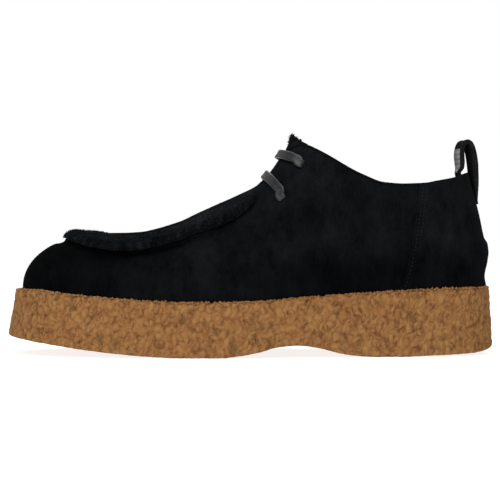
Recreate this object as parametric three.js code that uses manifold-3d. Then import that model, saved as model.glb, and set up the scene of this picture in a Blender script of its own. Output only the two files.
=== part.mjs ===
// A leather moccasin shoe for the left foot, on a thick crepe sole.
// A hollow upper with a raised apron seam, a tongue, a heel panel, a pull loop and two lace bars
// stands on a flared sole with toe spring, arch and a bevelled heel.
//
// Millimetres. +Z is up, the toe points to -X, and the inner (medial) side is +Y.
// The origin is under the middle of the sole, on the ground.

import * as THREE from "three";
import { mergeVertices } from "three/addons/utils/BufferGeometryUtils.js";
import Module from "manifold-3d";

const wasm = await Module();
wasm.setup();

// Lengths along the shoe
const LAST_LENGTH = 282.7; // upper, toe to heel, where it meets the sole
const TOE_LEDGE = 8.5; // sole past the upper at the toe, at the ground edge
const HEEL_LEDGE = 5.3; // sole past the upper at the heel
const SIDE_LEDGE = 6.5; // sole past the upper at the ball, each side
const TOE_FAN = 55; // toe tip to the point its wall fans out from
const HEEL_FAN = 33; // the same at the heel
const FAN_BLEND = 18; // length over which the fans pass into straight sections
const TOE_ROUNDING = 64; // length of the rounded toe in plan
const HEEL_ROUNDING = 40;
const TOE_SQUARENESS = 2.45; // power of the toe's rounding in plan (2 is round)
const HEEL_SQUARENESS = 2.3;

// Widths
const BALL_WIDTH = 103; // upper across the ball

// Heights
const BALL_THICKNESS = 32; // sole under the ball
const HEEL_THICKNESS = 40.5; // sole under the heel
const TOE_LIFT = 6.8; // rise of the sole's top from ball to toe
const TOE_SPRING = 11; // gap between the ground and the sole's tip
const ARCH_HEIGHT = 7; // gap under the waist
const HEEL_BEVEL = 1.8; // gap under the back edge of the heel
const INSTEP_HEIGHT = 96; // upper above the sole at the top of the throat
const THROAT_HEIGHT = 86.8; // flap tops above the heel seat
const ANKLE_HEIGHT = 62.1; // lowest point of the collar above the heel seat
const BACK_HEIGHT = 70.3; // collar at the heel above the heel seat

// Walls and clearances
const GAP = 0.3; // between touching pieces
const WALL = 2.2; // upper leather with its lining
const PANEL_THICKNESS = 1.2;
const TONGUE_THICKNESS = 2;
const INSOLE_THICKNESS = 4;
const BULGE_HEIGHT = 20; // widest part of the side wall above the sole
const SIDE_BULGE = 3; // how far the wall bulges past its foot
const TOE_PUFF = 2.4; // how far the apron puffs up behind its seam at the toe
const PUFF = { from: 0.1, to: 0.62 }; // where, as shares of the way from its fan's middle to its foot
const PUFF_FADE = { from: 0.05, to: 0.18 }; // where it dies away, as shares of LAST_LENGTH
const MOULDED_HEEL = { from: 0.9, to: 0.985 }; // where the wall takes the heel's swell, likewise

// Sole edge
const TOP_LEDGE = 3; // flat ledge around the upper
const TOP_EDGE_RADIUS = 2.6;
const GROUND_EDGE_RADIUS = 1.4;
const TOE_FLARE = { from: 0.02, to: 0.3 }; // where the toe's ledge passes into the side's, as shares
const HEEL_FLARE = { from: 0.7, to: 0.98 }; // of LAST_LENGTH, and the side's into the heel's
const LEAST_FLARE = 0.62; // the top's ledge is never more than this share of the ground's
const SIDE_RINGS = [0.35, 0.7]; // rings up the sole's side, as shares of its height

// Apron, throat and tongue; places along the shoe are measured back from the toe tip and keep their
// shares of the last's length
const APRON_FRONT = 29.6;
const APRON_HALF_WIDTH = 35;
const APRON_ROUNDING = 44; // length of its rounded front
const APRON_BACK = 0.504 * LAST_LENGTH; // end of its seam
const APRON_SQUARENESS = 2.3; // power of its rounded front
const SEAM_WIDTH = 9.6;
const SEAM_HEIGHT = 3.9; // at its highest, where the leather is gathered
const SEAM_LEAN = 0.8; // how far its crest hangs out past its foot
const SEAM_GAP = 0.42; // under it, a little more where the apron is crowned
const SEAM_LINE = 0.4; // share of its width that lies below the apron's outline
const THROAT_FRONT = 0.5165 * LAST_LENGTH;
const THROAT_HALF_WIDTH = 9.5;
const TONGUE_FRONT = 0.474 * LAST_LENGTH;
const TONGUE_HALF_WIDTH = 19;
const TONGUE_LENGTH = 0.1627 * LAST_LENGTH; // to past its top edge
const TONGUE_CURL = 3.6; // its top bent forward over the throat
const TONGUE_BEND = 10; // length over which it bends
const TONGUE_CREST = 3; // half width of the bent part's middle
const TONGUE_TOP = { back: 0.585 * LAST_LENGTH, up: 93.2 }; // up from the heel seat
const TONGUE_LEAN = 55; // degrees of its cut top edge

// Lace and eyelets; up is above the sole at the ball, forward how far a bar runs to the ridge
const LACE_WIDTH = 5.4;
const LACE_THICKNESS = 1.6;
const LACE_END_WIDTH = 3; // squeezed where it passes the eyelet
const LACE_END_LENGTH = 1.2; // end of a bar inside the wall
const LACE_TURN = 3; // eyelet to where a bar lies flat again
const EYELET_RADIUS = 2.4;
const LACE_LIFT = 0.2; // slack of a bar over the leather
const LOWER_EYELET = {
  back: 0.5642 * LAST_LENGTH,
  up: 0.652 * INSTEP_HEIGHT,
  forward: 0.0478 * LAST_LENGTH,
};
const UPPER_EYELET = {
  back: 0.6049 * LAST_LENGTH,
  up: 0.8625 * INSTEP_HEIGHT,
  forward: 0.0502 * LAST_LENGTH,
};

// Heel panel and pull loop
const PANEL_FOOT = 0.8016 * LAST_LENGTH; // toe tip back to its front edge at the sole
const PANEL_HEAD = 0.8525 * LAST_LENGTH; // and at the collar
const PANEL_SWEEP = 0.6; // how early its edge turns upright
const LOOP_WIDTH = 13;
const LOOP_THICKNESS = 2.4;
const LOOP_RISE = 20.4; // loop above the collar at the heel
const LOOP_DEPTH = 10.6; // loop from front to back
const LOOP_OUTER_LEG = 19; // foot of its outer leg below the collar
const LOOP_SEWN = 3; // length of that leg's sewn foot
const LOOP_SKIVE = 0.12; // share of the strap over which its foot is thinned
const LOOP_SLACK = 0.6; // between its outer leg and the heel panel
const LOOP_LINING_GAP = 1.05; // between its inner leg and the inside of the wall
const LOOP_INNER_LEG = 9; // leg sewn inside the collar
const LOOP_TWIST = 8; // degrees that the top of the loop is turned

const SOLE_LENGTH = LAST_LENGTH + TOE_LEDGE + HEEL_LEDGE;
const TOE_X = TOE_LEDGE - SOLE_LENGTH / 2;
const HEEL_X = TOE_X + LAST_LENGTH;
const SEAT = HEEL_THICKNESS;

// The upper in plan. at is a share of LAST_LENGTH from the toe; lateral, medial and swing (the bend
// of the centre line towards the big toe) are shares of BALL_WIDTH; bulge is a share of SIDE_BULGE.
const PLAN = [
  { at: 0.0, lateral: 0.44, medial: 0.455, swing: 0.05, bulge: 0.0 },
  { at: 0.15, lateral: 0.46, medial: 0.48, swing: 0.035, bulge: 0.25 },
  { at: 0.3, lateral: 0.487, medial: 0.497, swing: 0.012, bulge: 0.5 },
  { at: 0.39, lateral: 0.5, medial: 0.485, swing: 0.0, bulge: 0.6 },
  { at: 0.5, lateral: 0.477, medial: 0.427, swing: 0.0, bulge: 0.8 },
  { at: 0.62, lateral: 0.43, medial: 0.372, swing: 0.0, bulge: 1.0 },
  { at: 0.75, lateral: 0.385, medial: 0.35, swing: 0.0, bulge: 0.9 },
  { at: 0.88, lateral: 0.355, medial: 0.35, swing: 0.0, bulge: 0.9 },
  { at: 1.0, lateral: 0.345, medial: 0.345, swing: 0.0, bulge: 1.0 },
];

// The ridge and the shape of each section. ridge is a share of INSTEP_HEIGHT above the sole, spine a
// share of BALL_WIDTH towards the inner side, and power the roundness (2 is an ellipse).
const RIDGE = [
  { at: 0.0, ridge: 0.39, spine: 0.05, power: 2.22 },
  { at: 0.17, ridge: 0.398, spine: 0.05, power: 2.2 },
  { at: 0.25, ridge: 0.42, spine: 0.046, power: 2.1 },
  { at: 0.3, ridge: 0.458, spine: 0.043, power: 2.05 },
  { at: 0.342, ridge: 0.503, spine: 0.04, power: 2.0 },
  { at: 0.384, ridge: 0.5625, spine: 0.036, power: 1.97 },
  { at: 0.43, ridge: 0.621, spine: 0.032, power: 1.94 },
  { at: 0.4725, ridge: 0.675, spine: 0.028, power: 1.9 },
  { at: 0.508, ridge: 0.724, spine: 0.025, power: 1.9 },
  { at: 0.532, ridge: 0.797, spine: 0.023, power: 1.9 },
  { at: 0.55, ridge: 0.872, spine: 0.021, power: 1.9 },
  { at: 0.578, ridge: 0.995, spine: 0.019, power: 1.9 },
  { at: 0.592, ridge: 1.045, spine: 0.018, power: 1.91 },
  { at: 0.61, ridge: 1.08, spine: 0.016, power: 1.92 },
  { at: 0.666, ridge: 1.1, spine: 0.013, power: 1.95 },
  { at: 0.8, ridge: 1.1, spine: 0.005, power: 2.2 },
  { at: 0.92, ridge: 1.1, spine: 0.0, power: 2.1 },
  { at: 1.0, ridge: 1.1, spine: 0.0, power: 1.72 },
];

// How far the wall swells out at a height above the sole, as a share of twice BULGE_HEIGHT: along the
// sides, and round the moulded heel with the step at its top. Both are shares of the bulge.
const SWELL = [
  { at: 0.0, side: 0.0, heel: 0.0 },
  { at: 0.14, side: 0.1, heel: -0.2 },
  { at: 0.4, side: 0.85, heel: 0.65 },
  { at: 0.54, side: 1.0, heel: 1.05 },
  { at: 0.65, side: 0.85, heel: 1.03 },
  { at: 0.75, side: 0.55, heel: 0.47 },
  { at: 1.0, side: 0.0, heel: 0.28 },
  { at: 1.5, side: 0.0, heel: 0.0 },
];

// The sole's top: shares of TOE_LIFT and of the heel's extra thickness.
const SOLE_TOP = [
  { at: 0.0, lift: 1.0, heel: 0.0 },
  { at: 0.049, lift: 0.99, heel: 0.0 },
  { at: 0.098, lift: 0.77, heel: 0.0 },
  { at: 0.14, lift: 0.58, heel: 0.0 },
  { at: 0.182, lift: 0.42, heel: 0.0 },
  { at: 0.2246, lift: 0.28, heel: 0.0 },
  { at: 0.267, lift: 0.17, heel: 0.0 },
  { at: 0.309, lift: 0.09, heel: 0.0 },
  { at: 0.36, lift: 0.0, heel: 0.0 },
  { at: 0.45, lift: 0.0, heel: 0.02 },
  { at: 0.53, lift: 0.0, heel: 0.13 },
  { at: 0.594, lift: 0.0, heel: 0.32 },
  { at: 0.65, lift: 0.0, heel: 0.46 },
  { at: 0.71, lift: 0.0, heel: 0.59 },
  { at: 0.776, lift: 0.0, heel: 0.73 },
  { at: 0.84, lift: 0.0, heel: 0.86 },
  { at: 0.91, lift: 0.0, heel: 0.98 },
  { at: 1.0, lift: 0.0, heel: 1.0 },
];

// The sole's underside: shares of TOE_SPRING, ARCH_HEIGHT and HEEL_BEVEL.
const SOLE_GROUND = [
  { at: -0.032, spring: 1.0, arch: 0.0, bevel: 0.0 },
  { at: 0.0035, spring: 0.9, arch: 0.0, bevel: 0.0 },
  { at: 0.053, spring: 0.73, arch: 0.0, bevel: 0.0 },
  { at: 0.098, spring: 0.58, arch: 0.0, bevel: 0.0 },
  { at: 0.14, spring: 0.43, arch: 0.0, bevel: 0.0 },
  { at: 0.182, spring: 0.3, arch: 0.0, bevel: 0.0 },
  { at: 0.2246, spring: 0.18, arch: 0.0, bevel: 0.0 },
  { at: 0.267, spring: 0.09, arch: 0.0, bevel: 0.0 },
  { at: 0.347, spring: 0.0, arch: 0.0, bevel: 0.0 },
  { at: 0.432, spring: 0.0, arch: 0.0, bevel: 0.0 },
  { at: 0.47, spring: 0.0, arch: 0.14, bevel: 0.0 },
  { at: 0.515, spring: 0.0, arch: 0.47, bevel: 0.0 },
  { at: 0.551, spring: 0.0, arch: 0.86, bevel: 0.0 },
  { at: 0.593, spring: 0.0, arch: 1.0, bevel: 0.0 },
  { at: 0.635, spring: 0.0, arch: 0.8, bevel: 0.0 },
  { at: 0.677, spring: 0.0, arch: 0.36, bevel: 0.0 },
  { at: 0.715, spring: 0.0, arch: 0.12, bevel: 0.0 },
  { at: 0.76, spring: 0.0, arch: 0.0, bevel: 0.0 },
  { at: 0.81, spring: 0.0, arch: 0.0, bevel: 0.0 },
  { at: 0.863, spring: 0.0, arch: 0.0, bevel: 0.3 },
  { at: 0.954, spring: 0.0, arch: 0.0, bevel: 0.8 },
  { at: 0.99, spring: 0.0, arch: 0.0, bevel: 1.4 },
  { at: 1.02, spring: 0.0, arch: 0.0, bevel: 2.3 },
];

// The collar from the throat back: front is a share of the drop from the flap tops to the ankle, back
// of the rise from the ankle to the heel.
const COLLAR = [
  { at: 0.56, front: 0.8, back: 0.0 },
  { at: 0.575, front: 0.888, back: 0.0 },
  { at: 0.589, front: 0.972, back: 0.0 },
  { at: 0.603, front: 1.0, back: 0.0 },
  { at: 0.617, front: 0.968, back: 0.0 },
  { at: 0.635, front: 0.869, back: 0.0 },
  { at: 0.668, front: 0.657, back: 0.0 },
  { at: 0.698, front: 0.446, back: 0.0 },
  { at: 0.733, front: 0.227, back: 0.0 },
  { at: 0.776, front: 0.04, back: 0.0 },
  { at: 0.82, front: 0.0, back: 0.0 },
  { at: 0.864, front: 0.0, back: 0.056 },
  { at: 0.885, front: 0.0, back: 0.2 },
  { at: 0.92, front: 0.0, back: 0.437 },
  { at: 0.951, front: 0.0, back: 0.775 },
  { at: 0.97, front: 0.0, back: 1.0 },
  { at: 1.03, front: 0.0, back: 1.1 },
];

// The apron's half width behind its rounded front, as shares of APRON_HALF_WIDTH.
const APRON = [
  { at: 0.2, half: 1.03 },
  { at: 0.26, half: 1.0 },
  { at: 0.32, half: 0.99 },
  { at: 0.37, half: 0.965 },
  { at: 0.42, half: 0.94 },
  { at: 0.45, half: 0.89 },
  { at: 0.49, half: 0.74 },
  { at: 0.51, half: 0.62 },
];

// The apron seam's height back from the toe, as a share of SEAM_HEIGHT.
const SEAM_RUN = [
  { at: 0.0, height: 0.5 },
  { at: 0.05, height: 0.72 },
  { at: 0.11, height: 1.0 },
  { at: 0.2, height: 1.0 },
  { at: 0.3, height: 0.95 },
  { at: 0.5, height: 0.8 },
];

// Section of the apron seam, from its lower edge to the apron: height is a share of its own height.
const SEAM_SECTION = [
  { at: 0.0, height: 0.45 },
  { at: 0.17, height: 0.9 },
  { at: 0.34, height: 1.0 },
  { at: 0.6, height: 0.85 },
  { at: 0.85, height: 0.4 },
  { at: 1.0, height: 0.15 },
];

// The free part of the pull loop, from the outer leg over to the inner leg: back is a share of
// LOOP_DEPTH from its front, up a share of LOOP_RISE above the collar, turn a share of LOOP_TWIST.
const LOOP_BEND = [
  { back: 0.87, up: -0.45, turn: 0.0 },
  { back: 0.8, up: -0.17, turn: 0.1 },
  { back: 0.765, up: 0.28, turn: 0.3 },
  { back: 0.72, up: 0.547, turn: 0.4 },
  { back: 0.65, up: 0.754, turn: 0.6 },
  { back: 0.55, up: 0.897, turn: 0.8 },
  { back: 0.34, up: 1.0, turn: 1.0 },
  { back: 0.11, up: 0.946, turn: 1.0 },
  { back: 0.01, up: 0.818, turn: 1.0 },
  { back: 0.0, up: 0.67, turn: 1.0 },
  { back: 0.03, up: 0.478, turn: 1.0 },
  { back: 0.02, up: 0.276, turn: 0.5 },
];

// Section of a lace bar: shares of its width and of LACE_THICKNESS.
const LACE_SECTION = [
  { across: -0.5, up: -0.2 },
  { across: -0.4, up: -0.5 },
  { across: 0.4, up: -0.5 },
  { across: 0.5, up: -0.2 },
  { across: 0.5, up: 0.2 },
  { across: 0.4, up: 0.5 },
  { across: -0.4, up: 0.5 },
  { across: -0.5, up: 0.2 },
];

// Mesh detail
const STATIONS = 40; // along each side, before those added over the instep
const INSTEP = { from: 0.42, to: 0.64 }; // where they are added, as shares of LAST_LENGTH
const RINGS = 13; // up each side of the upper
const COLLAR_STEPS = 26;
const PANEL_STEPS = 8;
const LOOP_STEPS = 42;
const LACE_STEPS = 42;
const LACE_TURNS = [10, 20, 32, 44, 56, 68, 79, 90]; // degrees up the section to the ridge
const TONGUE_COLUMNS = 14;
const SHORT_EDGE = 0.02; // edges below it are taken out after a cut
const NEAR = 0.004; // stations closer than this to an end are left out
const SEARCH_STEPS = 40; // halvings in a search for a place on the surface

/** Value of a table's column at a share of the length, on a smooth curve that never overshoots. */
function column(table, key, at) {
  const n = table.length;
  if (at <= table[0].at) return table[0][key];
  if (at >= table[n - 1].at) return table[n - 1][key];
  let i = 0;
  while (table[i + 1].at < at) i += 1;
  const slope = (k) => (table[k + 1][key] - table[k][key]) / (table[k + 1].at - table[k].at);
  const tangent = (k) => {
    if (k === 0 || k === n - 1) return 0;
    const [before, after] = [slope(k - 1), slope(k)];
    return before * after <= 0 ? 0 : (2 * before * after) / (before + after);
  };
  const width = table[i + 1].at - table[i].at;
  const u = (at - table[i].at) / width;
  const rise = table[i + 1][key] - table[i][key];
  const [m0, m1] = [tangent(i) * width, tangent(i + 1) * width];
  return (
    table[i][key] + m0 * u + (3 * rise - 2 * m0 - m1) * u * u + (m0 + m1 - 2 * rise) * u * u * u
  );
}

const shareAt = (x) => (x - TOE_X) / LAST_LENGTH;

/** Height of the sole's top, where the upper meets it. */
function soleTop(x) {
  const at = shareAt(x);
  const extra = HEEL_THICKNESS - BALL_THICKNESS;
  return (
    BALL_THICKNESS + TOE_LIFT * column(SOLE_TOP, "lift", at) + extra * column(SOLE_TOP, "heel", at)
  );
}

/** Height of the sole's underside. */
function soleBottom(x) {
  const at = shareAt(x);
  return (
    TOE_SPRING * column(SOLE_GROUND, "spring", at) +
    ARCH_HEIGHT * column(SOLE_GROUND, "arch", at) +
    HEEL_BEVEL * column(SOLE_GROUND, "bevel", at)
  );
}

/** How much of its full width the outline has at x, with both ends rounded. */
function endRounding(x) {
  const toe = Math.max(0, (TOE_X + TOE_ROUNDING - x) / TOE_ROUNDING);
  const heel = Math.max(0, (x - HEEL_X + HEEL_ROUNDING) / HEEL_ROUNDING);
  const arc = (u, power) => (1 - Math.min(1, u) ** power) ** (1 / power);
  return arc(toe, TOE_SQUARENESS) * arc(heel, HEEL_SQUARENESS);
}

/** Point of the upper's outline on the sole; side is -1 for the outer side and +1 for the inner. */
function outlinePoint(side, x) {
  const at = shareAt(x);
  const half = column(PLAN, side < 0 ? "lateral" : "medial", at) * BALL_WIDTH;
  const centre = column(PLAN, "swing", at) * BALL_WIDTH;
  return [x, centre + side * half * endRounding(x)];
}

/** Station x for a share t of the way from toe to heel, closer together at both ends. */
const stationX = (t) => TOE_X + (LAST_LENGTH * (1 - Math.cos(Math.PI * t))) / 2;

/** Station t of a place measured back from the toe tip. */
const stationAt = (back) => Math.acos(1 - (2 * back) / LAST_LENGTH) / Math.PI;

/** Outward direction in plan at a station of the outline. */
function outlineNormal(side, t) {
  if (t <= 0) return [-1, 0];
  if (t >= 1) return [1, 0];
  const step = 0.002;
  const [ax, ay] = outlinePoint(side, stationX(Math.max(0, t - step)));
  const [bx, by] = outlinePoint(side, stationX(Math.min(1, t + step)));
  const length = Math.hypot(bx - ax, by - ay);
  return [(-side * (by - ay)) / length, (side * (bx - ax)) / length];
}

/** Where the wall that starts at x reaches the ridge: straight across, or the middle of an end fan. */
function ridgeX(x) {
  const front = TOE_X + TOE_FAN;
  const rear = HEEL_X - HEEL_FAN;
  const settle = (past, reach) => {
    const whole = reach + FAN_BLEND;
    const moved = FAN_BLEND * Math.max(0, past / whole) ** (whole / FAN_BLEND);
    return moved < GAP ? 0 : moved;
  };
  if (x < front + FAN_BLEND) return front + settle(x - TOE_X, TOE_FAN);
  if (x > rear - FAN_BLEND) return rear - settle(HEEL_X - x, HEEL_FAN);
  return x;
}

const spineY = (x) => column(RIDGE, "spine", shareAt(x)) * BALL_WIDTH;
const ridgeHeight = (x) => soleTop(x) + GAP + column(RIDGE, "ridge", shareAt(x)) * INSTEP_HEIGHT;

/** Outward swell of the wall at a height above the sole. */
function swell(at, above) {
  const up = above / (2 * BULGE_HEIGHT);
  const round = THREE.MathUtils.smoothstep(at, MOULDED_HEEL.from, MOULDED_HEEL.to);
  const share = column(SWELL, "side", up) * (1 - round) + column(SWELL, "heel", up) * round;
  return SIDE_BULGE * column(PLAN, "bulge", at) * share;
}

/** How far the toe is puffed up at a share out of the way from its fan's middle to its foot. */
function toePuff(at, out) {
  if (out <= PUFF.from || out >= PUFF.to) return 0;
  const fade = 1 - THREE.MathUtils.smoothstep(at, PUFF_FADE.from, PUFF_FADE.to);
  const share = (out - PUFF.from) / (PUFF.to - PUFF.from);
  return TOE_PUFF * fade * Math.sin(Math.PI * share) ** 2;
}

/** Height from the sole to the ridge over a station, for a form grown by grow. */
function wallHeight(t, grow) {
  const top = ridgeX(stationX(t));
  const slope = (ridgeHeight(top + 1) - ridgeHeight(top - 1)) / 2;
  return ridgeHeight(top) + grow * Math.hypot(1, slope) - soleTop(stationX(t)) - GAP;
}

/**
 * Point of the upper's form. side and t give the place around the outline, rise the share of the way
 * up to the ridge, and grow how far outside the upper's own surface it lies.
 */
function formPoint(side, t, rise, grow) {
  const x = stationX(t);
  const at = shareAt(x);
  const [nx, ny] = outlineNormal(side, t);
  const [, y] = outlinePoint(side, x);
  const top = ridgeX(x);
  const apex = [top, spineY(top)];
  const foot = [x + nx * grow, y + ny * grow];
  const reach = [foot[0] - apex[0], foot[1] - apex[1]];
  const power = column(RIDGE, "power", at);
  const base = soleTop(x) + GAP;
  const height = wallHeight(t, grow);
  const out = Math.max(0, 1 - rise ** power) ** (1 / power);
  const swollen = out * (1 + swell(at, rise * height) / Math.hypot(...reach));
  const z = base + rise * height + toePuff(at, out);
  return [apex[0] + reach[0] * swollen, apex[1] + reach[1] * swollen, z];
}

/** Share of the way up to the ridge at which the wall at t, grown by grow, has height z. */
function riseAt(t, z, grow = 0) {
  const base = soleTop(stationX(t)) + GAP;
  return THREE.MathUtils.clamp((z - base) / wallHeight(t, grow), 0, 1);
}

/** Height of the collar's edge. */
function collarHeight(x) {
  const at = shareAt(x);
  return (
    SEAT +
    ANKLE_HEIGHT +
    (THROAT_HEIGHT - ANKLE_HEIGHT) * column(COLLAR, "front", at) +
    (BACK_HEIGHT - ANKLE_HEIGHT) * column(COLLAR, "back", at)
  );
}

/** A solid for cutting and joining, from a closed geometry. */
function solidOf(geometry) {
  return new wasm.Manifold(
    new wasm.Mesh({
      numProp: 3,
      vertProperties: new Float32Array(geometry.attributes.position.array),
      triVerts: new Uint32Array(geometry.index.array),
    }),
  );
}

/** The same geometry with its faces pointing out. */
function faceOut(geometry) {
  if (solidOf(geometry).volume() > 0) return geometry;
  const index = [...geometry.index.array];
  for (let i = 0; i < index.length; i += 3)
    [index[i + 1], index[i + 2]] = [index[i + 2], index[i + 1]];
  geometry.setIndex(index);
  return geometry;
}

/** A three.js geometry as one closed mesh of positions only. */
function bare(geometry) {
  geometry.deleteAttribute("normal");
  geometry.deleteAttribute("uv");
  return faceOut(mergeVertices(geometry, 1e-3));
}

/** Closed geometry from points and faces of four corners, with doubles merged. */
function meshFrom(points, faces) {
  const raw = new THREE.BufferGeometry();
  raw.setAttribute("position", new THREE.Float32BufferAttribute(points.flat(), 3));
  raw.setIndex(faces.flatMap(([a, b, c, d]) => [a, b, c, a, c, d]));
  const merged = mergeVertices(raw, 1e-2);
  const index = merged.index.array;
  const kept = [];
  for (let i = 0; i < index.length; i += 3) {
    const [a, b, c] = index.slice(i, i + 3);
    if (a !== b && b !== c && a !== c) kept.push(a, b, c);
  }
  merged.setIndex(kept);
  return faceOut(merged);
}

/** Shares from 0 to 1 in equal steps. */
const shares = (count) => Array.from({ length: count + 1 }, (_, i) => i / count);

/** A geometry from a solid, with edges too short to matter taken out. */
function geometryOf(solid) {
  const mesh = solid.simplify(SHORT_EDGE).getMesh();
  const geometry = new THREE.BufferGeometry();
  geometry.setAttribute("position", new THREE.Float32BufferAttribute(mesh.vertProperties, 3));
  geometry.setIndex([...mesh.triVerts]);
  return geometry;
}

/** Closed sheet between two skins, each giving a point for a value of us along and of vs across. */
function sheet(us, vs, outer, inner) {
  const points = [outer, inner].flatMap((skin) => us.flatMap((u) => vs.map((v) => skin(u, v))));
  const [columns, rows] = [us.length - 1, vs.length - 1];
  const index = (layer, i, j) => (layer * (columns + 1) + i) * (rows + 1) + j;
  const faces = [];
  for (let i = 0; i < columns; i += 1)
    for (let j = 0; j < rows; j += 1) {
      const patch = (layer) => [
        index(layer, i, j),
        index(layer, i + 1, j),
        index(layer, i + 1, j + 1),
        index(layer, i, j + 1),
      ];
      faces.push(patch(0), patch(1).reverse());
    }
  const edge = (i0, j0, i1, j1) =>
    faces.push([index(0, i0, j0), index(1, i0, j0), index(1, i1, j1), index(0, i1, j1)]);
  for (let i = 0; i < columns; i += 1) {
    edge(i, 0, i + 1, 0);
    edge(i + 1, rows, i, rows);
  }
  for (let j = 0; j < rows; j += 1) {
    edge(0, j + 1, 0, j);
    edge(columns, j, columns, j + 1);
  }
  return meshFrom(points, faces);
}

/** Closed solid from rings of an even number of points, each end closed by strips across. */
function ringSolid(rings) {
  const n = rings[0].length;
  const faces = [];
  for (let k = 0; k + 1 < rings.length; k += 1)
    for (let i = 0; i < n; i += 1) {
      const next = (i + 1) % n;
      faces.push([k * n + i, k * n + next, (k + 1) * n + next, (k + 1) * n + i]);
    }
  const last = (rings.length - 1) * n;
  for (let i = 0; i < n / 2; i += 1) {
    const strip = [i, i + 1, n - i - 1, (n - i) % n];
    faces.push([...strip].reverse());
    faces.push(strip.map((corner) => corner + last));
  }
  return meshFrom(rings.flat(), faces);
}

/** Stations from toe to heel, with more where the ridge bends into the instep. */
function stationsAlong() {
  const all = [];
  for (let i = 0; i <= STATIONS; i += 1) {
    const t = i / STATIONS;
    const at = shareAt(stationX(t));
    all.push(t);
    if (at > INSTEP.from && at < INSTEP.to) all.push(t + 0.5 / STATIONS);
  }
  return all;
}

const ALONG = stationsAlong();

/** Stations around the whole outline: the outer side from toe to heel, then the inner side back. */
const AROUND = [
  ...ALONG.map((t) => ({ side: -1, t })),
  ...ALONG.slice(1, -1)
    .map((t) => ({ side: 1, t }))
    .reverse(),
];

/** The closed form of the upper, starting a little below its foot. */
function upperForm(grow, below) {
  const foot = AROUND.map(({ side, t }) => formPoint(side, t, 0, grow));
  const rings = below > 0 ? [foot.map(([x, y, z]) => [x, y, z - below])] : [];
  for (let j = 0; j <= RINGS; j += 1)
    rings.push(
      AROUND.map(({ side, t }) => {
        const power = column(RIDGE, "power", shareAt(stationX(t)));
        const rise = j === RINGS ? 1 : Math.sin((Math.PI / 2) * (j / RINGS)) ** (2 / power);
        return formPoint(side, t, rise, grow);
      }),
    );
  return ringSolid(rings);
}

/** Block with a side view's outline, as deep as asked across the shoe. */
function sideways(shape, depth) {
  const block = new THREE.ExtrudeGeometry(shape, { depth, bevelEnabled: false, steps: 1 });
  block.rotateX(Math.PI / 2);
  block.translate(0, depth / 2, 0);
  return bare(block);
}

/** The largest body of a solid. */
const biggest = (solid) => solid.decompose().sort((a, b) => b.volume() - a.volume())[0];

/** Block that clears all above the collar's edge, as seen from the side. */
function collarCutter() {
  const high = SEAT + INSTEP_HEIGHT * 2;
  const [from, to] = [COLLAR[0].at, COLLAR.at(-1).at];
  const shape = new THREE.Shape();
  shape.moveTo(TOE_X + from * LAST_LENGTH, high);
  for (const share of shares(COLLAR_STEPS)) {
    const x = TOE_X + (from + (to - from) * share) * LAST_LENGTH;
    shape.lineTo(x, collarHeight(x));
  }
  shape.lineTo(HEEL_X + HEEL_FAN, high);
  return sideways(shape, BALL_WIDTH * 2);
}

/** Upright block that opens the throat between the two flaps, with a round foot. */
function throatCutter() {
  const start = TOE_X + THROAT_FRONT + THROAT_HALF_WIDTH;
  const end = TOE_X + TONGUE_FRONT + TONGUE_LENGTH;
  const centre = spineY(start);
  const shape = new THREE.Shape();
  shape.moveTo(end, centre - THROAT_HALF_WIDTH);
  shape.lineTo(end, centre + THROAT_HALF_WIDTH);
  shape.absarc(start, centre, THROAT_HALF_WIDTH, Math.PI / 2, (3 * Math.PI) / 2, false);
  const options = { depth: INSTEP_HEIGHT, bevelEnabled: false, steps: 1, curveSegments: 8 };
  const block = new THREE.ExtrudeGeometry(shape, options);
  block.translate(0, 0, SEAT + ANKLE_HEIGHT / 2);
  return bare(block);
}

/** Place on the surface over an eyelet or, for a share above 0, forward and up towards the ridge. */
function barPlace(eyelet, side, share, grow) {
  const t = stationAt(eyelet.back - eyelet.forward * share);
  const low = BALL_THICKNESS + eyelet.up;
  const high = ridgeHeight(TOE_X + eyelet.back - eyelet.forward);
  const rise = share >= 1 ? 1 : riseAt(t, low + (high - low) * share);
  return new THREE.Vector3(...formPoint(side, t, rise, grow));
}

/** Outward direction of the surface under a bar. */
function barNormal(eyelet, side, share) {
  const step = 1e-3;
  const here = barPlace(eyelet, side, share, 0);
  if (share >= 1 - step) {
    const x = TOE_X + eyelet.back - eyelet.forward;
    return new THREE.Vector3(-(ridgeHeight(x + 1) - ridgeHeight(x - 1)), 0, 2).normalize();
  }
  const t = stationAt(eyelet.back - eyelet.forward * share);
  const rise = riseAt(t, here.z);
  const along = new THREE.Vector3(...formPoint(side, t + step, rise, 0)).sub(here);
  const up = new THREE.Vector3(...formPoint(side, t, rise + step, 0)).sub(here);
  return along.cross(up).normalize().multiplyScalar(-side);
}

/** Pin through the wall at an eyelet. */
function eyeletCutter(eyelet, side) {
  const centre = barPlace(eyelet, side, 0, -WALL / 2);
  const out = barNormal(eyelet, side, 0);
  const pin = new THREE.CylinderGeometry(EYELET_RADIUS, EYELET_RADIUS, WALL * 4, 10);
  pin.applyQuaternion(new THREE.Quaternion().setFromUnitVectors(new THREE.Vector3(0, 1, 0), out));
  pin.translate(centre.x, centre.y, centre.z);
  return bare(pin);
}

/** The hollow upper: outer form less inner form, opened at collar, throat and eyelets. */
function upperGeometry() {
  let wall = solidOf(upperForm(0, 0)).subtract(solidOf(upperForm(-WALL, WALL)));
  wall = wall.subtract(solidOf(collarCutter())).subtract(solidOf(throatCutter()));
  for (const eyelet of [LOWER_EYELET, UPPER_EYELET])
    for (const side of [-1, 1]) wall = wall.subtract(solidOf(eyeletCutter(eyelet, side)));
  return geometryOf(biggest(wall));
}

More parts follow.
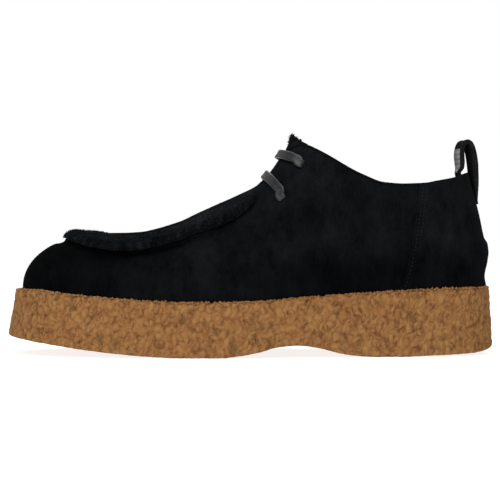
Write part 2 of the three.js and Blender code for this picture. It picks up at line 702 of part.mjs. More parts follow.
/** The crepe sole: rings from the ground edge up the flared side, over the rounded edge to the top. */
function soleGeometry() {
  const groundLedge = (x) => {
    const toe = 1 - THREE.MathUtils.smoothstep(shareAt(x), TOE_FLARE.from, TOE_FLARE.to);
    const heel = THREE.MathUtils.smoothstep(shareAt(x), HEEL_FLARE.from, HEEL_FLARE.to);
    return TOE_LEDGE * toe + HEEL_LEDGE * heel + SIDE_LEDGE * (1 - toe - heel);
  };
  const topLedge = (x) =>
    Math.min(TOP_LEDGE + TOP_EDGE_RADIUS / 2, groundLedge(x) * LEAST_FLARE);
  const edge = (grow, height) =>
    AROUND.map(({ side, t }) => {
      const [x, y] = outlinePoint(side, stationX(t));
      const [nx, ny] = outlineNormal(side, t);
      const px = x + nx * grow(x);
      return [px, y + ny * grow(x), height(px, x)];
    });
  const flare = (share) => (x) => groundLedge(x) + (topLedge(x) - groundLedge(x)) * share;
  const between = (share) => (px, x) => soleBottom(px) + (soleTop(x) - soleBottom(px)) * share;
  const rings = [
    edge((x) => groundLedge(x) - GROUND_EDGE_RADIUS, (px) => soleBottom(px)),
    edge(flare(0), (px) => soleBottom(px) + GROUND_EDGE_RADIUS),
    ...SIDE_RINGS.map((share) => edge(flare(share), between(share))),
  ];
  for (const turn of [0, 30, 60, 90]) {
    const angle = THREE.MathUtils.degToRad(turn);
    const inward = TOP_EDGE_RADIUS * (1 - Math.cos(angle));
    const down = TOP_EDGE_RADIUS * (1 - Math.sin(angle));
    rings.push(edge((x) => topLedge(x) - inward, (px, x) => soleTop(x) - down));
  }
  return ringSolid(rings);
}

/** The footbed, inside the upper on top of the sole. */
function insoleGeometry() {
  const margin = WALL + GAP * 2;
  const first = stationAt(margin * 2);
  const along = [first, ...ALONG.filter((t) => t > first && t < 1 - first), 1 - first];
  const skin = (lift) => (t, v) => {
    const [left, right] = [-1, 1].map((side) => {
      const [x, y] = outlinePoint(side, stationX(t));
      const [nx, ny] = outlineNormal(side, t);
      return new THREE.Vector2(x - nx * margin, y - ny * margin);
    });
    const at = left.lerp(right, v);
    return [at.x, at.y, soleTop(stationX(t)) + lift];
  };
  return sheet(along, shares(2), skin(GAP + INSOLE_THICKNESS), skin(GAP));
}

/** Shell of the upper's form between two distances outside it, open underneath. */
function shell(outside, inside) {
  return solidOf(upperForm(outside, 0)).subtract(solidOf(upperForm(inside, WALL)));
}

/** The back panel, lapped over the quarters from its slanted front edge round the heel. */
function heelPanelGeometry() {
  const low = soleTop(TOE_X + PANEL_FOOT);
  const high = collarHeight(TOE_X + PANEL_HEAD);
  const shape = new THREE.Shape();
  shape.moveTo(HEEL_X + HEEL_FAN, 0);
  shape.lineTo(TOE_X + PANEL_FOOT, 0);
  for (const v of shares(PANEL_STEPS))
    shape.lineTo(
      TOE_X + PANEL_FOOT + (PANEL_HEAD - PANEL_FOOT) * v ** PANEL_SWEEP,
      low + (high - low) * v,
    );
  shape.lineTo(TOE_X + PANEL_HEAD, high + BACK_HEIGHT);
  shape.lineTo(HEEL_X + HEEL_FAN, high + BACK_HEIGHT);
  const region = sideways(shape, BALL_WIDTH);
  const panel = shell(GAP + PANEL_THICKNESS, GAP)
    .intersect(solidOf(region))
    .subtract(solidOf(collarCutter()));
  return geometryOf(biggest(panel));
}

/** Half width of the apron at x. */
function apronHalf(x) {
  const u = Math.max(0, (TOE_X + APRON_FRONT + APRON_ROUNDING - x) / APRON_ROUNDING);
  const round = (1 - Math.min(1, u) ** APRON_SQUARENESS) ** (1 / APRON_SQUARENESS);
  return APRON_HALF_WIDTH * column(APRON, "half", shareAt(x)) * round;
}

/** Angle up the section at which the wall at t crosses the apron's outline. */
function apronAngle(side, t) {
  const foot = formPoint(side, t, 0, 0);
  const apex = formPoint(side, t, 1, 0);
  let [low, high] = [0, 1];
  for (let k = 0; k < SEARCH_STEPS; k += 1) {
    const share = (low + high) / 2;
    const x = apex[0] + (foot[0] - apex[0]) * share;
    const y = apex[1] + (foot[1] - apex[1]) * share;
    const inside = x > TOE_X + APRON_FRONT && Math.abs(y - spineY(x)) < apronHalf(x);
    if (inside) low = share;
    else high = share;
  }
  return Math.acos(low ** (column(RIDGE, "power", shareAt(stationX(t))) / 2));
}

/** The raised apron seam, lying on the upper from one flap round the toe to the other. */
function apronSeamGeometry() {
  const end = stationAt(APRON_BACK);
  const half = [...ALONG.filter((t) => t > 0 && t < end - NEAR), end];
  const along = [...half.map((t) => -t).reverse(), 0, ...half];
  const skin = (raised) => (u, v) => {
    const side = u < 0 ? -1 : 1;
    const t = Math.abs(u);
    const power = column(RIDGE, "power", shareAt(stationX(t)));
    const place = (angle, grow) =>
      new THREE.Vector3(...formPoint(side, t, Math.sin(angle) ** (2 / power), grow));
    const centre = apronAngle(side, t);
    const step = 0.02;
    const pace = place(centre + step, 0).distanceTo(place(centre - step, 0)) / (2 * step);
    const run = SEAM_HEIGHT * column(SEAM_RUN, "height", shareAt(stationX(t)));
    const height = raised * run * column(SEAM_SECTION, "height", v);
    const across = (v - SEAM_LINE) * SEAM_WIDTH - (SEAM_LEAN * height) / SEAM_HEIGHT;
    return place(centre + across / pace, SEAM_GAP + height).toArray();
  };
  const rows = SEAM_SECTION.map((row) => row.at);
  return sheet(along, rows, skin(1), skin(0));
}

/** The tongue, just under the flaps, trimmed square to its own direction at the top. */
function tongueGeometry() {
  const [first, last] = [stationAt(TONGUE_FRONT), stationAt(TONGUE_FRONT + TONGUE_LENGTH)];
  const along = [first, ...ALONG.filter((t) => t > first + NEAR && t < last - NEAR), last];
  const skin = (depth) => (t, v) => {
    const x = stationX(t);
    const across = (2 * v - 1) * TONGUE_HALF_WIDTH;
    const side = across < 0 ? -1 : 1;
    const reach = Math.abs(outlinePoint(side, x)[1] - spineY(x));
    const power = column(RIDGE, "power", shareAt(x));
    const rise = (1 - (Math.abs(across) / reach) ** power) ** (1 / power);
    const free = 1 - THREE.MathUtils.smoothstep(Math.abs(across), TONGUE_CREST, THROAT_HALF_WIDTH);
    const bend = TONGUE_TOP.back + TONGUE_CREST;
    const past = THREE.MathUtils.smoothstep(x - TOE_X, bend - TONGUE_BEND, bend);
    return formPoint(side, t, rise, TONGUE_CURL * free * past - WALL - GAP - depth);
  };
  const whole = sheet(along, shares(TONGUE_COLUMNS), skin(0), skin(TONGUE_THICKNESS));
  const size = TONGUE_LENGTH * 2;
  const cutter = new THREE.BoxGeometry(size, size, size);
  cutter.translate(size / 2, 0, 0);
  cutter.rotateY(-THREE.MathUtils.degToRad(TONGUE_LEAN));
  cutter.translate(TOE_X + TONGUE_TOP.back, 0, SEAT + TONGUE_TOP.up);
  return geometryOf(solidOf(whole).subtract(solidOf(bare(cutter))));
}

/** x of the heel's surface at a height and a distance to the side of the centre line. */
function heelX(y, z, grow) {
  const side = y < 0 ? -1 : 1;
  const at = (t) => formPoint(side, t, riseAt(t, z, grow), grow);
  let [low, high] = [stationAt(LAST_LENGTH - HEEL_FAN), 1];
  for (let k = 0; k < SEARCH_STEPS; k += 1) {
    const middle = (low + high) / 2;
    if (Math.abs(at(middle)[1]) > Math.abs(y)) low = middle;
    else high = middle;
  }
  return at((low + high) / 2)[0];
}

/** The pull loop: a strap from the back of the heel, over the collar and down inside it. */
function pullLoopGeometry() {
  const top = collarHeight(HEEL_X - HEEL_FAN / 3);
  const half = LOOP_THICKNESS / 2;
  const outside = GAP + PANEL_THICKNESS + LOOP_SLACK + half;
  const inside = -WALL - LOOP_LINING_GAP - half;
  const back = heelX(0, top - LOOP_OUTER_LEG, outside);
  const path = [];
  for (const z of [top - LOOP_OUTER_LEG, top - LOOP_OUTER_LEG + LOOP_SEWN])
    path.push({ x: heelX(0, z, outside), z, turn: 0, grow: outside });
  for (const { back: share, up, turn } of LOOP_BEND) {
    const grow = share > 0.5 ? outside : inside;
    path.push({ x: back - LOOP_DEPTH * (1 - share), z: top + LOOP_RISE * up, turn, grow });
  }
  for (const share of shares(3)) {
    const z = top + GAP - LOOP_INNER_LEG * share;
    path.push({ x: heelX(0, z, inside), z, turn: 0, grow: inside });
  }
  const points = path.map(({ x, z }) => new THREE.Vector3(x, 0, z));
  const curve = new THREE.CatmullRomCurve3(points, false, "centripetal");
  const skin = (layer) => (u, v) => {
    const offset = layer > 0 ? half * Math.min(1, u / LOOP_SKIVE) : -half;
    const at = curve.getPoint(u);
    const along = curve.getTangent(u);
    const place = u * (path.length - 1);
    const k = Math.min(path.length - 2, Math.floor(place));
    const turn = THREE.MathUtils.lerp(path[k].turn, path[k + 1].turn, place - k);
    const angle = THREE.MathUtils.degToRad(LOOP_TWIST * turn);
    const across = (v - 0.5) * LOOP_WIDTH;
    const level = Math.min(at.z, top);
    const bow = heelX(across, level, path[k].grow) - heelX(0, level, path[k].grow);
    const x = at.x + along.z * offset + bow * (1 - turn);
    return [x + across * Math.sin(angle), across * Math.cos(angle), at.z - along.x * offset];
  };
  return sheet(shares(LOOP_STEPS), shares(4), skin(1), skin(-1));
}

/** A lace bar from one eyelet over the throat to the other, its ends turned in through the wall. */
function laceBarGeometry(eyelet) {
  const lift = GAP + LACE_LIFT + LACE_THICKNESS / 2;
  const steps = LACE_TURNS.map((turn) => Math.sin(THREE.MathUtils.degToRad(turn)));
  const half = (side) => {
    const hole = barPlace(eyelet, side, 0, -WALL / 2);
    const out = barNormal(eyelet, side, 0);
    const inward = barPlace(eyelet, side, steps[0], 0).sub(barPlace(eyelet, side, 0, 0)).normalize();
    const end = (height, shift) =>
      hole.clone().addScaledVector(out, height).addScaledVector(inward, shift);
    const wide = new THREE.Vector3().crossVectors(out, inward).multiplyScalar(side);
    const station = (at, normal, width) => ({ at, normal, wide, width });
    return [
      station(end(-WALL / 2 - LACE_END_LENGTH, 0), inward.clone().negate(), LACE_END_WIDTH),
      station(end(0, 0), inward.clone().negate(), LACE_END_WIDTH),
      station(end(WALL / 2 + lift / 2, LACE_TURN / 4), out.clone().sub(inward), LACE_END_WIDTH),
      station(end(WALL / 2 + lift, LACE_TURN), out, (LACE_WIDTH + LACE_END_WIDTH) / 2),
      ...steps.map((share) =>
        station(barPlace(eyelet, side, share, lift), barNormal(eyelet, side, share), LACE_WIDTH),
      ),
    ];
  };
  const path = [...half(-1), ...half(1).slice(0, -1).reverse()];
  const curve = new THREE.CatmullRomCurve3(path.map(({ at }) => at), false, "centripetal");
  const rings = [];
  for (const u of shares(LACE_STEPS)) {
    const place = u * (path.length - 1);
    const k = Math.min(path.length - 2, Math.floor(place));
    const width = THREE.MathUtils.lerp(path[k].width, path[k + 1].width, place - k);
    const normal = path[k].normal.clone().lerp(path[k + 1].normal, place - k);
    const along = curve.getTangent(u);
    normal.addScaledVector(along, -normal.dot(along)).normalize();
    const wide = new THREE.Vector3().crossVectors(along, normal);
    rings.push(
      LACE_SECTION.map(({ across, up }) =>
        curve
          .getPoint(u)
          .addScaledVector(wide, across * width)
          .addScaledVector(normal, up * LACE_THICKNESS)
          .toArray(),
      ),
    );
  }
  return ringSolid(rings);
}

/** A named mesh with its own material. */
function piece(name, geometry, colour, roughness) {
  geometry.computeVertexNormals();
  const material = new THREE.MeshStandardMaterial({ color: colour, roughness, metalness: 0 });
  material.name = name;
  const mesh = new THREE.Mesh(geometry, material);
  mesh.name = name;
  return mesh;
}

const shoe = new THREE.Group();
shoe.name = "shoe";
shoe.add(
  piece("crepe_sole", soleGeometry(), 0x926940, 0.9),
  piece("upper", upperGeometry(), 0x151618, 0.95),
  piece("apron_seam", apronSeamGeometry(), 0x131315, 0.95),
  piece("heel_panel", heelPanelGeometry(), 0x141618, 0.95),
  piece("tongue", tongueGeometry(), 0x161617, 0.95),
  piece("insole", insoleGeometry(), 0x2a2522, 0.8),
  piece("pull_loop", pullLoopGeometry(), 0x1d1d1e, 0.6),
  piece("lace_bar_lower", laceBarGeometry(LOWER_EYELET), 0x353536, 0.5),
  piece("lace_bar_upper", laceBarGeometry(UPPER_EYELET), 0x353536, 0.5),
);

export default shoe;
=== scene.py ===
"""A moccasin shoe for the left foot: hair-on leather, gathered by hand, on a thick crepe sole."""

import logging
import math
from dataclasses import dataclass, field
from enum import Enum
from typing import Callable, Sequence

import bmesh
import bpy
import numpy as np
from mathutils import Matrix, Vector, noise

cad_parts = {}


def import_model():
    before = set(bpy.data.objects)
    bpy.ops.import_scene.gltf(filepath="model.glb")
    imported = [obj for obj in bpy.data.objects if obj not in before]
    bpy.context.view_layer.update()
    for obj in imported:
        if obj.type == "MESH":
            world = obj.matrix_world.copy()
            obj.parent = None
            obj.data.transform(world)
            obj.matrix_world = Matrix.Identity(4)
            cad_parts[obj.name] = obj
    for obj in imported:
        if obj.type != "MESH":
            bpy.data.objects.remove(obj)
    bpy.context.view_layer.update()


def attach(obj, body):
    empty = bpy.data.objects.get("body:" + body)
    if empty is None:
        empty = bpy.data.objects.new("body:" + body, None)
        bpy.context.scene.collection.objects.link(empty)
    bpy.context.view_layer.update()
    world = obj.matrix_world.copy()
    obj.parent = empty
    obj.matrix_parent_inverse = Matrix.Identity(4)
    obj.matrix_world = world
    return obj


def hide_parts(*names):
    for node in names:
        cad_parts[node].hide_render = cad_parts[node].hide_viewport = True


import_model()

LOG = logging.getLogger("shoe")
MM = 0.001
Array = np.ndarray


class Side(Enum):
    """The two sides of the shoe, by the sign of Y."""

    OUTER = -1
    INNER = 1


class Slot(Enum):
    """The record's material slots."""

    CREPE = "crepe"
    HAIR = "hair_on_leather"
    LINING = "lining_leather"
    STRAP = "strap_leather"
    LACE = "lace_leather"


class Table:
    """A short table whose columns are read on smooth curves that never overshoot."""

    def __init__(self, **columns: Sequence[float]) -> None:
        """Keeps the columns; the one named at holds the places.

        Args:
            columns: the numbers of each column, from first row on; the rest of it is 0.
        """
        rows = len(columns["at"])
        self.columns = {
            name: np.pad(np.array(values, dtype=float), (0, rows - len(values)))
            for name, values in columns.items()
        }

    def read(self, key: str, at: Array | float) -> Array:
        """Value of a column.

        Args:
            key: the column's name.
            at: where to read it.

        Returns:
            One value for each place.
        """
        places, values = self.columns["at"], self.columns[key]
        at = np.clip(np.asarray(at, dtype=float), places[0], places[-1])
        slopes = np.diff(values) / np.diff(places)
        both = slopes[:-1] * slopes[1:]
        total = np.where(both > 0, slopes[:-1] + slopes[1:], 1.0)
        tangents = np.concatenate(([0.0], np.where(both > 0, 2 * both / total, 0.0), [0.0]))
        i = np.clip(np.searchsorted(places, at, side="right") - 1, 0, len(places) - 2)
        width = places[i + 1] - places[i]
        u = (at - places[i]) / width
        rise = values[i + 1] - values[i]
        m0, m1 = tangents[i] * width, tangents[i + 1] * width
        return values[i] + m0 * u + (3 * rise - 2 * m0 - m1) * u**2 + (m0 + m1 - 2 * rise) * u**3


PLAN = Table(
    at=(0.0, 0.15, 0.3, 0.39, 0.5, 0.62, 0.75, 0.88, 1.0),
    outer=(0.44, 0.46, 0.487, 0.5, 0.477, 0.43, 0.385, 0.355, 0.345),
    inner=(0.455, 0.48, 0.497, 0.485, 0.427, 0.372, 0.35, 0.35, 0.345),
    swing=(0.05, 0.035, 0.012),
    bulge=(0.0, 0.25, 0.5, 0.6, 0.8, 1.0, 0.9, 0.9, 1.0),
)
RIDGE = Table(
    at=(0.0, 0.17, 0.25, 0.3, 0.342, 0.384, 0.43, 0.4725, 0.508, 0.532, 0.55, 0.578, 0.592,
        0.61, 0.666, 0.8, 0.92, 1.0),
    ridge=(0.39, 0.398, 0.42, 0.458, 0.503, 0.5625, 0.621, 0.675, 0.724, 0.797, 0.872, 0.995,
           1.045, 1.08, 1.1, 1.1, 1.1, 1.1),
    spine=(0.05, 0.05, 0.046, 0.043, 0.04, 0.036, 0.032, 0.028, 0.025, 0.023, 0.021, 0.019,
           0.018, 0.016, 0.013, 0.005, 0.0, 0.0),
    power=(2.22, 2.2, 2.1, 2.05, 2.0, 1.97, 1.94, 1.9, 1.9, 1.9, 1.9, 1.9, 1.91, 1.92, 1.95,
           2.2, 2.1, 1.72),
)
SWELL = Table(
    at=(0.0, 0.14, 0.4, 0.54, 0.65, 0.75, 1.0, 1.5),
    side=(0.0, 0.1, 0.85, 1.0, 0.85, 0.55, 0.0, 0.0),
    heel=(0.0, -0.2, 0.65, 1.05, 1.03, 0.47, 0.28, 0.0),
)
SOLE_TOP = Table(
    at=(0.0, 0.049, 0.098, 0.14, 0.182, 0.2246, 0.267, 0.309, 0.36, 0.45, 0.53, 0.594, 0.65,
        0.71, 0.776, 0.84, 0.91, 1.0),
    lift=(1.0, 0.99, 0.77, 0.58, 0.42, 0.28, 0.17, 0.09),
    heel=(0.0,) * 9 + (0.02, 0.13, 0.32, 0.46, 0.59, 0.73, 0.86, 0.98, 1.0),
)
SOLE_GROUND = Table(
    at=(-0.032, 0.0035, 0.053, 0.098, 0.14, 0.182, 0.2246, 0.267, 0.347, 0.432, 0.47, 0.515,
        0.551, 0.593, 0.635, 0.677, 0.715, 0.76, 0.81, 0.863, 0.954, 0.99, 1.02),
    spring=(1.0, 0.9, 0.73, 0.58, 0.43, 0.3, 0.18, 0.09),
    arch=(0.0,) * 10 + (0.14, 0.47, 0.86, 1.0, 0.8, 0.36, 0.12),
    bevel=(0.0,) * 19 + (0.3, 0.8, 1.4, 2.3),
)
COLLAR = Table(
    at=(0.56, 0.575, 0.589, 0.603, 0.617, 0.635, 0.668, 0.698, 0.733, 0.776, 0.82, 0.864,
        0.885, 0.92, 0.951, 0.97, 1.03),
    front=(0.8, 0.888, 0.972, 1.0, 0.968, 0.869, 0.657, 0.446, 0.227, 0.04),
    back=(0.0,) * 11 + (0.056, 0.2, 0.437, 0.775, 1.0, 1.1),
)
APRON = Table(
    at=(0.2, 0.26, 0.32, 0.37, 0.42, 0.45, 0.49, 0.51),
    half=(1.03, 1.0, 0.99, 0.965, 0.94, 0.89, 0.74, 0.62),
)
SEAM_RUN = Table(at=(0.0, 0.05, 0.11, 0.2, 0.3, 0.5), height=(0.5, 0.72, 1.0, 1.0, 0.95, 0.8))
SEAM_SECTION = Table(
    at=(0.0, 0.17, 0.34, 0.6, 0.85, 1.0),
    height=(0.45, 0.9, 1.0, 0.85, 0.4, 0.15),
)


def smoothstep(value: Array | float, low: float, high: float) -> Array:
    """0 below low, 1 above high and a smooth curve between."""
    u = np.clip((np.asarray(value, dtype=float) - low) / (high - low), 0.0, 1.0)
    return u * u * (3 - 2 * u)


def narrow(
    low: Array, high: Array, before: Callable[[Array], Array], rounds: int = 40
) -> tuple[Array, Array]:
    """Halves ranges again and again around the place where a test stops being true.

    Args:
        low: where the test holds.
        high: where it does not.
        before: the test.
        rounds: how often the ranges are halved.

    Returns:
        The ends of the narrowed ranges.
    """
    for _ in range(rounds):
        middle = (low + high) / 2
        holds = before(middle)
        low, high = np.where(holds, middle, low), np.where(holds, high, middle)
    return low, high


def unit(vectors: Array) -> Array:
    """Vectors made one long."""
    return vectors / np.linalg.norm(vectors, axis=-1, keepdims=True)


def run_along(places: Array) -> Array:
    """How far along a line each of its places is."""
    return np.concatenate(([0], np.cumsum(np.linalg.norm(np.diff(places, axis=0), axis=1))))


def rows_at(at: Array, run: Array, rows: Array) -> Array:
    """Rows of x, y and z read between their places."""
    return np.stack([np.interp(at, run, rows[:, k]) for k in range(3)], axis=1)


@dataclass(frozen=True)
class Last:
    """The last that the shoe is made on, with the sole's outline; millimetres."""

    length: float = 282.7
    toe_ledge: float = 8.5
    heel_ledge: float = 5.3
    side_ledge: float = 6.5
    toe_fan: float = 55.0
    heel_fan: float = 33.0
    fan_blend: float = 18.0
    toe_rounding: float = 64.0
    heel_rounding: float = 40.0
    toe_squareness: float = 2.45
    heel_squareness: float = 2.3
    ball_width: float = 103.0
    ball_thickness: float = 32.0
    heel_thickness: float = 40.5
    toe_lift: float = 6.8
    toe_spring: float = 11.0
    arch_height: float = 7.0
    heel_bevel: float = 1.8
    instep_height: float = 96.0
    throat_height: float = 86.8
    ankle_height: float = 62.1
    back_height: float = 70.3
    gap: float = 0.3
    wall: float = 2.2
    bulge_height: float = 20.0
    side_bulge: float = 3.0
    toe_puff: float = 2.4
    throat_front: float = 146.0
    throat_half_width: float = 9.5

    @property
    def toe(self) -> float:
        """x of the upper's toe."""
        return self.toe_ledge - (self.length + self.toe_ledge + self.heel_ledge) / 2

    @property
    def heel(self) -> float:
        """x of the upper's heel."""
        return self.toe + self.length

    def share(self, x: Array | float) -> Array:
        """x as a share of the length from the toe."""
        return (np.asarray(x, dtype=float) - self.toe) / self.length

    def station_x(self, t: Array | float) -> Array:
        """x of a station, closer together at both ends."""
        return self.toe + self.length * (1 - np.cos(np.pi * np.asarray(t, dtype=float))) / 2

    def station(self, back: Array | float) -> Array:
        """Station of a place measured back from the toe."""
        return np.arccos(np.clip(1 - 2 * np.asarray(back, dtype=float) / self.length, -1, 1)) / np.pi

    def sole_top(self, x: Array | float) -> Array:
        """Height of the sole's top."""
        at = self.share(x)
        extra = self.heel_thickness - self.ball_thickness
        lift, heel = SOLE_TOP.read("lift", at), SOLE_TOP.read("heel", at)
        return self.ball_thickness + self.toe_lift * lift + extra * heel

    def sole_bottom(self, x: Array | float) -> Array:
        """Height of the sole's underside."""
        at = self.share(x)
        spring, arch = SOLE_GROUND.read("spring", at), SOLE_GROUND.read("arch", at)
        bevel = SOLE_GROUND.read("bevel", at)
        return self.toe_spring * spring + self.arch_height * arch + self.heel_bevel * bevel

    def outline(self, side: Array | float, x: Array) -> Array:
        """y of the upper's outline on the sole."""
        at = self.share(x)
        half = np.where(np.asarray(side) < 0, PLAN.read("outer", at), PLAN.read("inner", at))
        toe = np.clip((self.toe + self.toe_rounding - x) / self.toe_rounding, 0, 1)
        heel = np.clip((x - self.heel + self.heel_rounding) / self.heel_rounding, 0, 1)
        round_toe = (1 - toe**self.toe_squareness) ** (1 / self.toe_squareness)
        round_heel = (1 - heel**self.heel_squareness) ** (1 / self.heel_squareness)
        centre = PLAN.read("swing", at) * self.ball_width
        return centre + side * half * self.ball_width * round_toe * round_heel

    def normal(self, side: Array | float, t: Array) -> tuple[Array, Array]:
        """Outward direction in plan at a station of the outline."""
        step = 0.002
        ax, bx = (self.station_x(np.clip(t + d, 0, 1)) for d in (-step, step))
        ay, by = self.outline(side, ax), self.outline(side, bx)
        size = np.hypot(bx - ax, by - ay)
        nx, ny = -side * (by - ay) / size, side * (bx - ax) / size
        ends = (t <= 0) | (t >= 1)
        return np.where(ends, np.where(t <= 0, -1.0, 1.0), nx), np.where(ends, 0.0, ny)

    def ridge_x(self, x: Array) -> Array:
        """Where the wall that starts at x reaches the ridge."""
        front, rear = self.toe + self.toe_fan, self.heel - self.heel_fan

        def settle(past: Array, reach: float) -> Array:
            whole = reach + self.fan_blend
            power = whole / self.fan_blend
            moved = self.fan_blend * np.clip(past / whole, 0, None) ** power
            return np.where(moved < self.gap, 0.0, moved)

        x = np.asarray(x, dtype=float)
        at_toe = front + settle(x - self.toe, self.toe_fan)
        at_heel = rear - settle(self.heel - x, self.heel_fan)
        out = np.where(x < front + self.fan_blend, at_toe, x)
        return np.where(x > rear - self.fan_blend, at_heel, out)

    def spine(self, x: Array | float) -> Array:
        """y of the ridge."""
        return RIDGE.read("spine", self.share(x)) * self.ball_width

    def ridge_height(self, x: Array | float) -> Array:
        """Height of the ridge."""
        ridge = RIDGE.read("ridge", self.share(x)) * self.instep_height
        return self.sole_top(x) + self.gap + ridge

    def wall_height(self, t: Array, grow: Array | float) -> Array:
        """Height from the sole to the ridge over a station, for a form grown by grow."""
        top = self.ridge_x(self.station_x(t))
        slope = (self.ridge_height(top + 1) - self.ridge_height(top - 1)) / 2
        rise = self.ridge_height(top) + grow * np.hypot(1, slope)
        return rise - self.sole_top(self.station_x(t)) - self.gap

    def power(self, t: Array) -> Array:
        """Roundness of the section at a station."""
        return RIDGE.read("power", self.share(self.station_x(t)))

    def point(
        self, side: Array | float, t: Array, rise: Array, grow: Array | float = 0.0
    ) -> Array:
        """Point of the form.

        Args:
            side: -1 on the outer side and 1 on the inner.
            t: station along the outline.
            rise: share of the way up to the ridge.
            grow: distance outside the upper's surface.

        Returns:
            Points in millimetres, with x, y and z last.
        """
        side, t, rise, grow = np.broadcast_arrays(
            *(np.asarray(v, dtype=float) for v in (side, t, rise, grow))
        )
        x = self.station_x(t)
        at = self.share(x)
        nx, ny = self.normal(side, t)
        top = self.ridge_x(x)
        spine = self.spine(top)
        fx = x + nx * grow - top
        fy = self.outline(side, x) + ny * grow - spine
        power = self.power(t)
        height = self.wall_height(t, grow)
        out = np.clip(1 - np.clip(rise, 0, 1) ** power, 0, 1) ** (1 / power)
        up = rise * height / (2 * self.bulge_height)
        heel = smoothstep(at, 0.9, 0.985)
        swell = SWELL.read("side", up) * (1 - heel) + SWELL.read("heel", up) * heel
        swell = swell * self.side_bulge * PLAN.read("bulge", at)
        reach = out * (1 + swell / np.maximum(np.hypot(fx, fy), 1e-6))
        puff = np.clip((out - 0.1) / 0.52, 0, 1)
        lift = self.toe_puff * (1 - smoothstep(at, 0.05, 0.18)) * np.sin(np.pi * puff) ** 2
        z = self.sole_top(x) + self.gap + rise * height + lift
        return np.stack((top + fx * reach, spine + fy * reach, z), axis=-1)

    def turned(self, t: Array, angle: Array) -> Array:
        """Share of the way up at an angle up the section."""
        return np.sin(angle) ** (2 / self.power(t))

    def top_angle(self, side: Array | float, t: Array, grow: float = 0.0) -> Array:
        """Angle up the section at which a skin of the upper ends."""
        return np.arcsin(np.clip(self.edge_rise(side, t, grow), 0, 1) ** (self.power(t) / 2))

    def rise_at(self, t: Array, z: Array, grow: Array | float = 0.0) -> Array:
        """Share of the way up at which the wall has a height."""
        base = self.sole_top(self.station_x(t)) + self.gap
        return np.clip((z - base) / self.wall_height(t, grow), 0, 1)

    def collar(self, x: Array) -> Array:
        """Height of the collar's edge."""
        at = self.share(x)
        front = (self.throat_height - self.ankle_height) * COLLAR.read("front", at)
        back = (self.back_height - self.ankle_height) * COLLAR.read("back", at)
        return self.heel_thickness + self.ankle_height + front + back

    def edge_rise(self, side: Array | float, t: Array, grow: float = 0.0) -> Array:
        """Share of the way up at which a skin of the upper ends, at its throat or collar."""
        t = np.asarray(t, dtype=float)
        x = self.station_x(t)
        power = self.power(t)
        past = x - self.toe - self.throat_front
        round_end = np.clip(self.throat_half_width - past, 0, self.throat_half_width)
        half = np.sqrt(np.clip(self.throat_half_width**2 - round_end**2, 0, None))
        half = np.where(past > 0, half, 0.0)
        reach = np.abs(self.outline(side, x) - self.spine(x))
        throat = np.clip(1 - (half / np.maximum(reach, 1e-6)) ** power, 0, 1) ** (1 / power)
        throat = np.where(reach < half * 1.02, 0.0, throat)
        throat = np.where(self.share(x) > 0.7, 1.0, throat)

        def under(rise: Array) -> Array:
            place = self.point(side, t, rise, grow)
            return place[..., 2] < self.collar(place[..., 0])

        high = narrow(np.zeros_like(t), np.ones_like(t), under)[1]
        collar = np.where(self.share(x) >= 0.56, high, 1.0)
        return np.minimum(throat, collar)

    def heel_x(self, y: Array | float, z: Array | float, grow: Array | float) -> Array:
        """x of the heel's surface at a height, to the side of the centre line."""
        y, z, grow = np.broadcast_arrays(*(np.asarray(v, dtype=float) for v in (y, z, grow)))
        side = np.where(y < 0, -1.0, 1.0)

        def place(t: Array) -> Array:
            return self.point(side, t, self.rise_at(t, z, grow), grow)

        first = np.full(y.shape, float(self.station(self.length - self.heel_fan)))
        low, high = narrow(first, np.ones(y.shape), lambda t: np.abs(place(t)[..., 1]) > np.abs(y))
        return place((low + high) / 2)[..., 0]


LAST = Last()


# Making and joining pieces


def deselect() -> None:
    """Leaves nothing selected."""
    for item in bpy.context.selected_objects:
        item.select_set(False)


def hold(piece: bpy.types.Object) -> None:
    """Selects one piece alone and makes it active."""
    deselect()
    piece.select_set(True)
    bpy.context.view_layer.objects.active = piece


def made(operator: Callable, **settings: object) -> bpy.types.Object:
    """Runs an operator that adds one object, with nothing selected before it."""
    deselect()
    operator(**settings)
    return bpy.context.active_object


def changed(piece: bpy.types.Object, kind: str, **settings: object) -> None:
    """Applies one modifier to a piece, with its settings by name."""
    hold(piece)
    modifier = piece.modifiers.new(kind.lower(), kind)
    for key, value in settings.items():
        setattr(modifier, key, value)
    bpy.ops.object.modifier_apply(modifier=modifier.name)


def edit(piece: bpy.types.Object, *steps: Callable[[], object]) -> None:
    """Runs steps on the whole of a piece in edit mode."""
    hold(piece)
    bpy.ops.object.mode_set(mode="EDIT")
    bpy.ops.mesh.select_all(action="SELECT")
    for step in steps:
        step()
    bpy.ops.object.mode_set(mode="OBJECT")


def read(piece: bpy.types.Object, key: str) -> Array:
    """One vector for each of a piece's points: co or normal."""
    flat = np.empty(len(piece.data.vertices) * 3)
    piece.data.vertices.foreach_get(key, flat)
    return flat.reshape(-1, 3)


def blank(name: str, columns: int, rows: int) -> tuple[bpy.types.Object, Array, Array]:
    """A flat blank with a fine grid on it, ready to be wrapped.

    Args:
        name: the piece's name.
        columns: faces along.
        rows: faces across.

    Returns:
        The piece, and each point's share of the way along and across.
    """
    grid = bpy.ops.mesh.primitive_grid_add
    piece = made(grid, x_subdivisions=columns, y_subdivisions=rows, size=2)
    piece.name = name
    piece.data.name = name
    flat = read(piece, "co")
    u = np.rint((flat[:, 0] + 1) / 2 * columns) / columns
    v = np.rint((flat[:, 1] + 1) / 2 * rows) / rows
    return piece, u, v


def wrap(piece: bpy.types.Object, points: Array) -> None:
    """Moves a piece's points to places given in millimetres."""
    piece.data.vertices.foreach_set("co", (points * MM).astype(np.float32).ravel())
    piece.data.update()


def points_of(piece: bpy.types.Object) -> Array:
    """A piece's points in millimetres."""
    return read(piece, "co") / MM


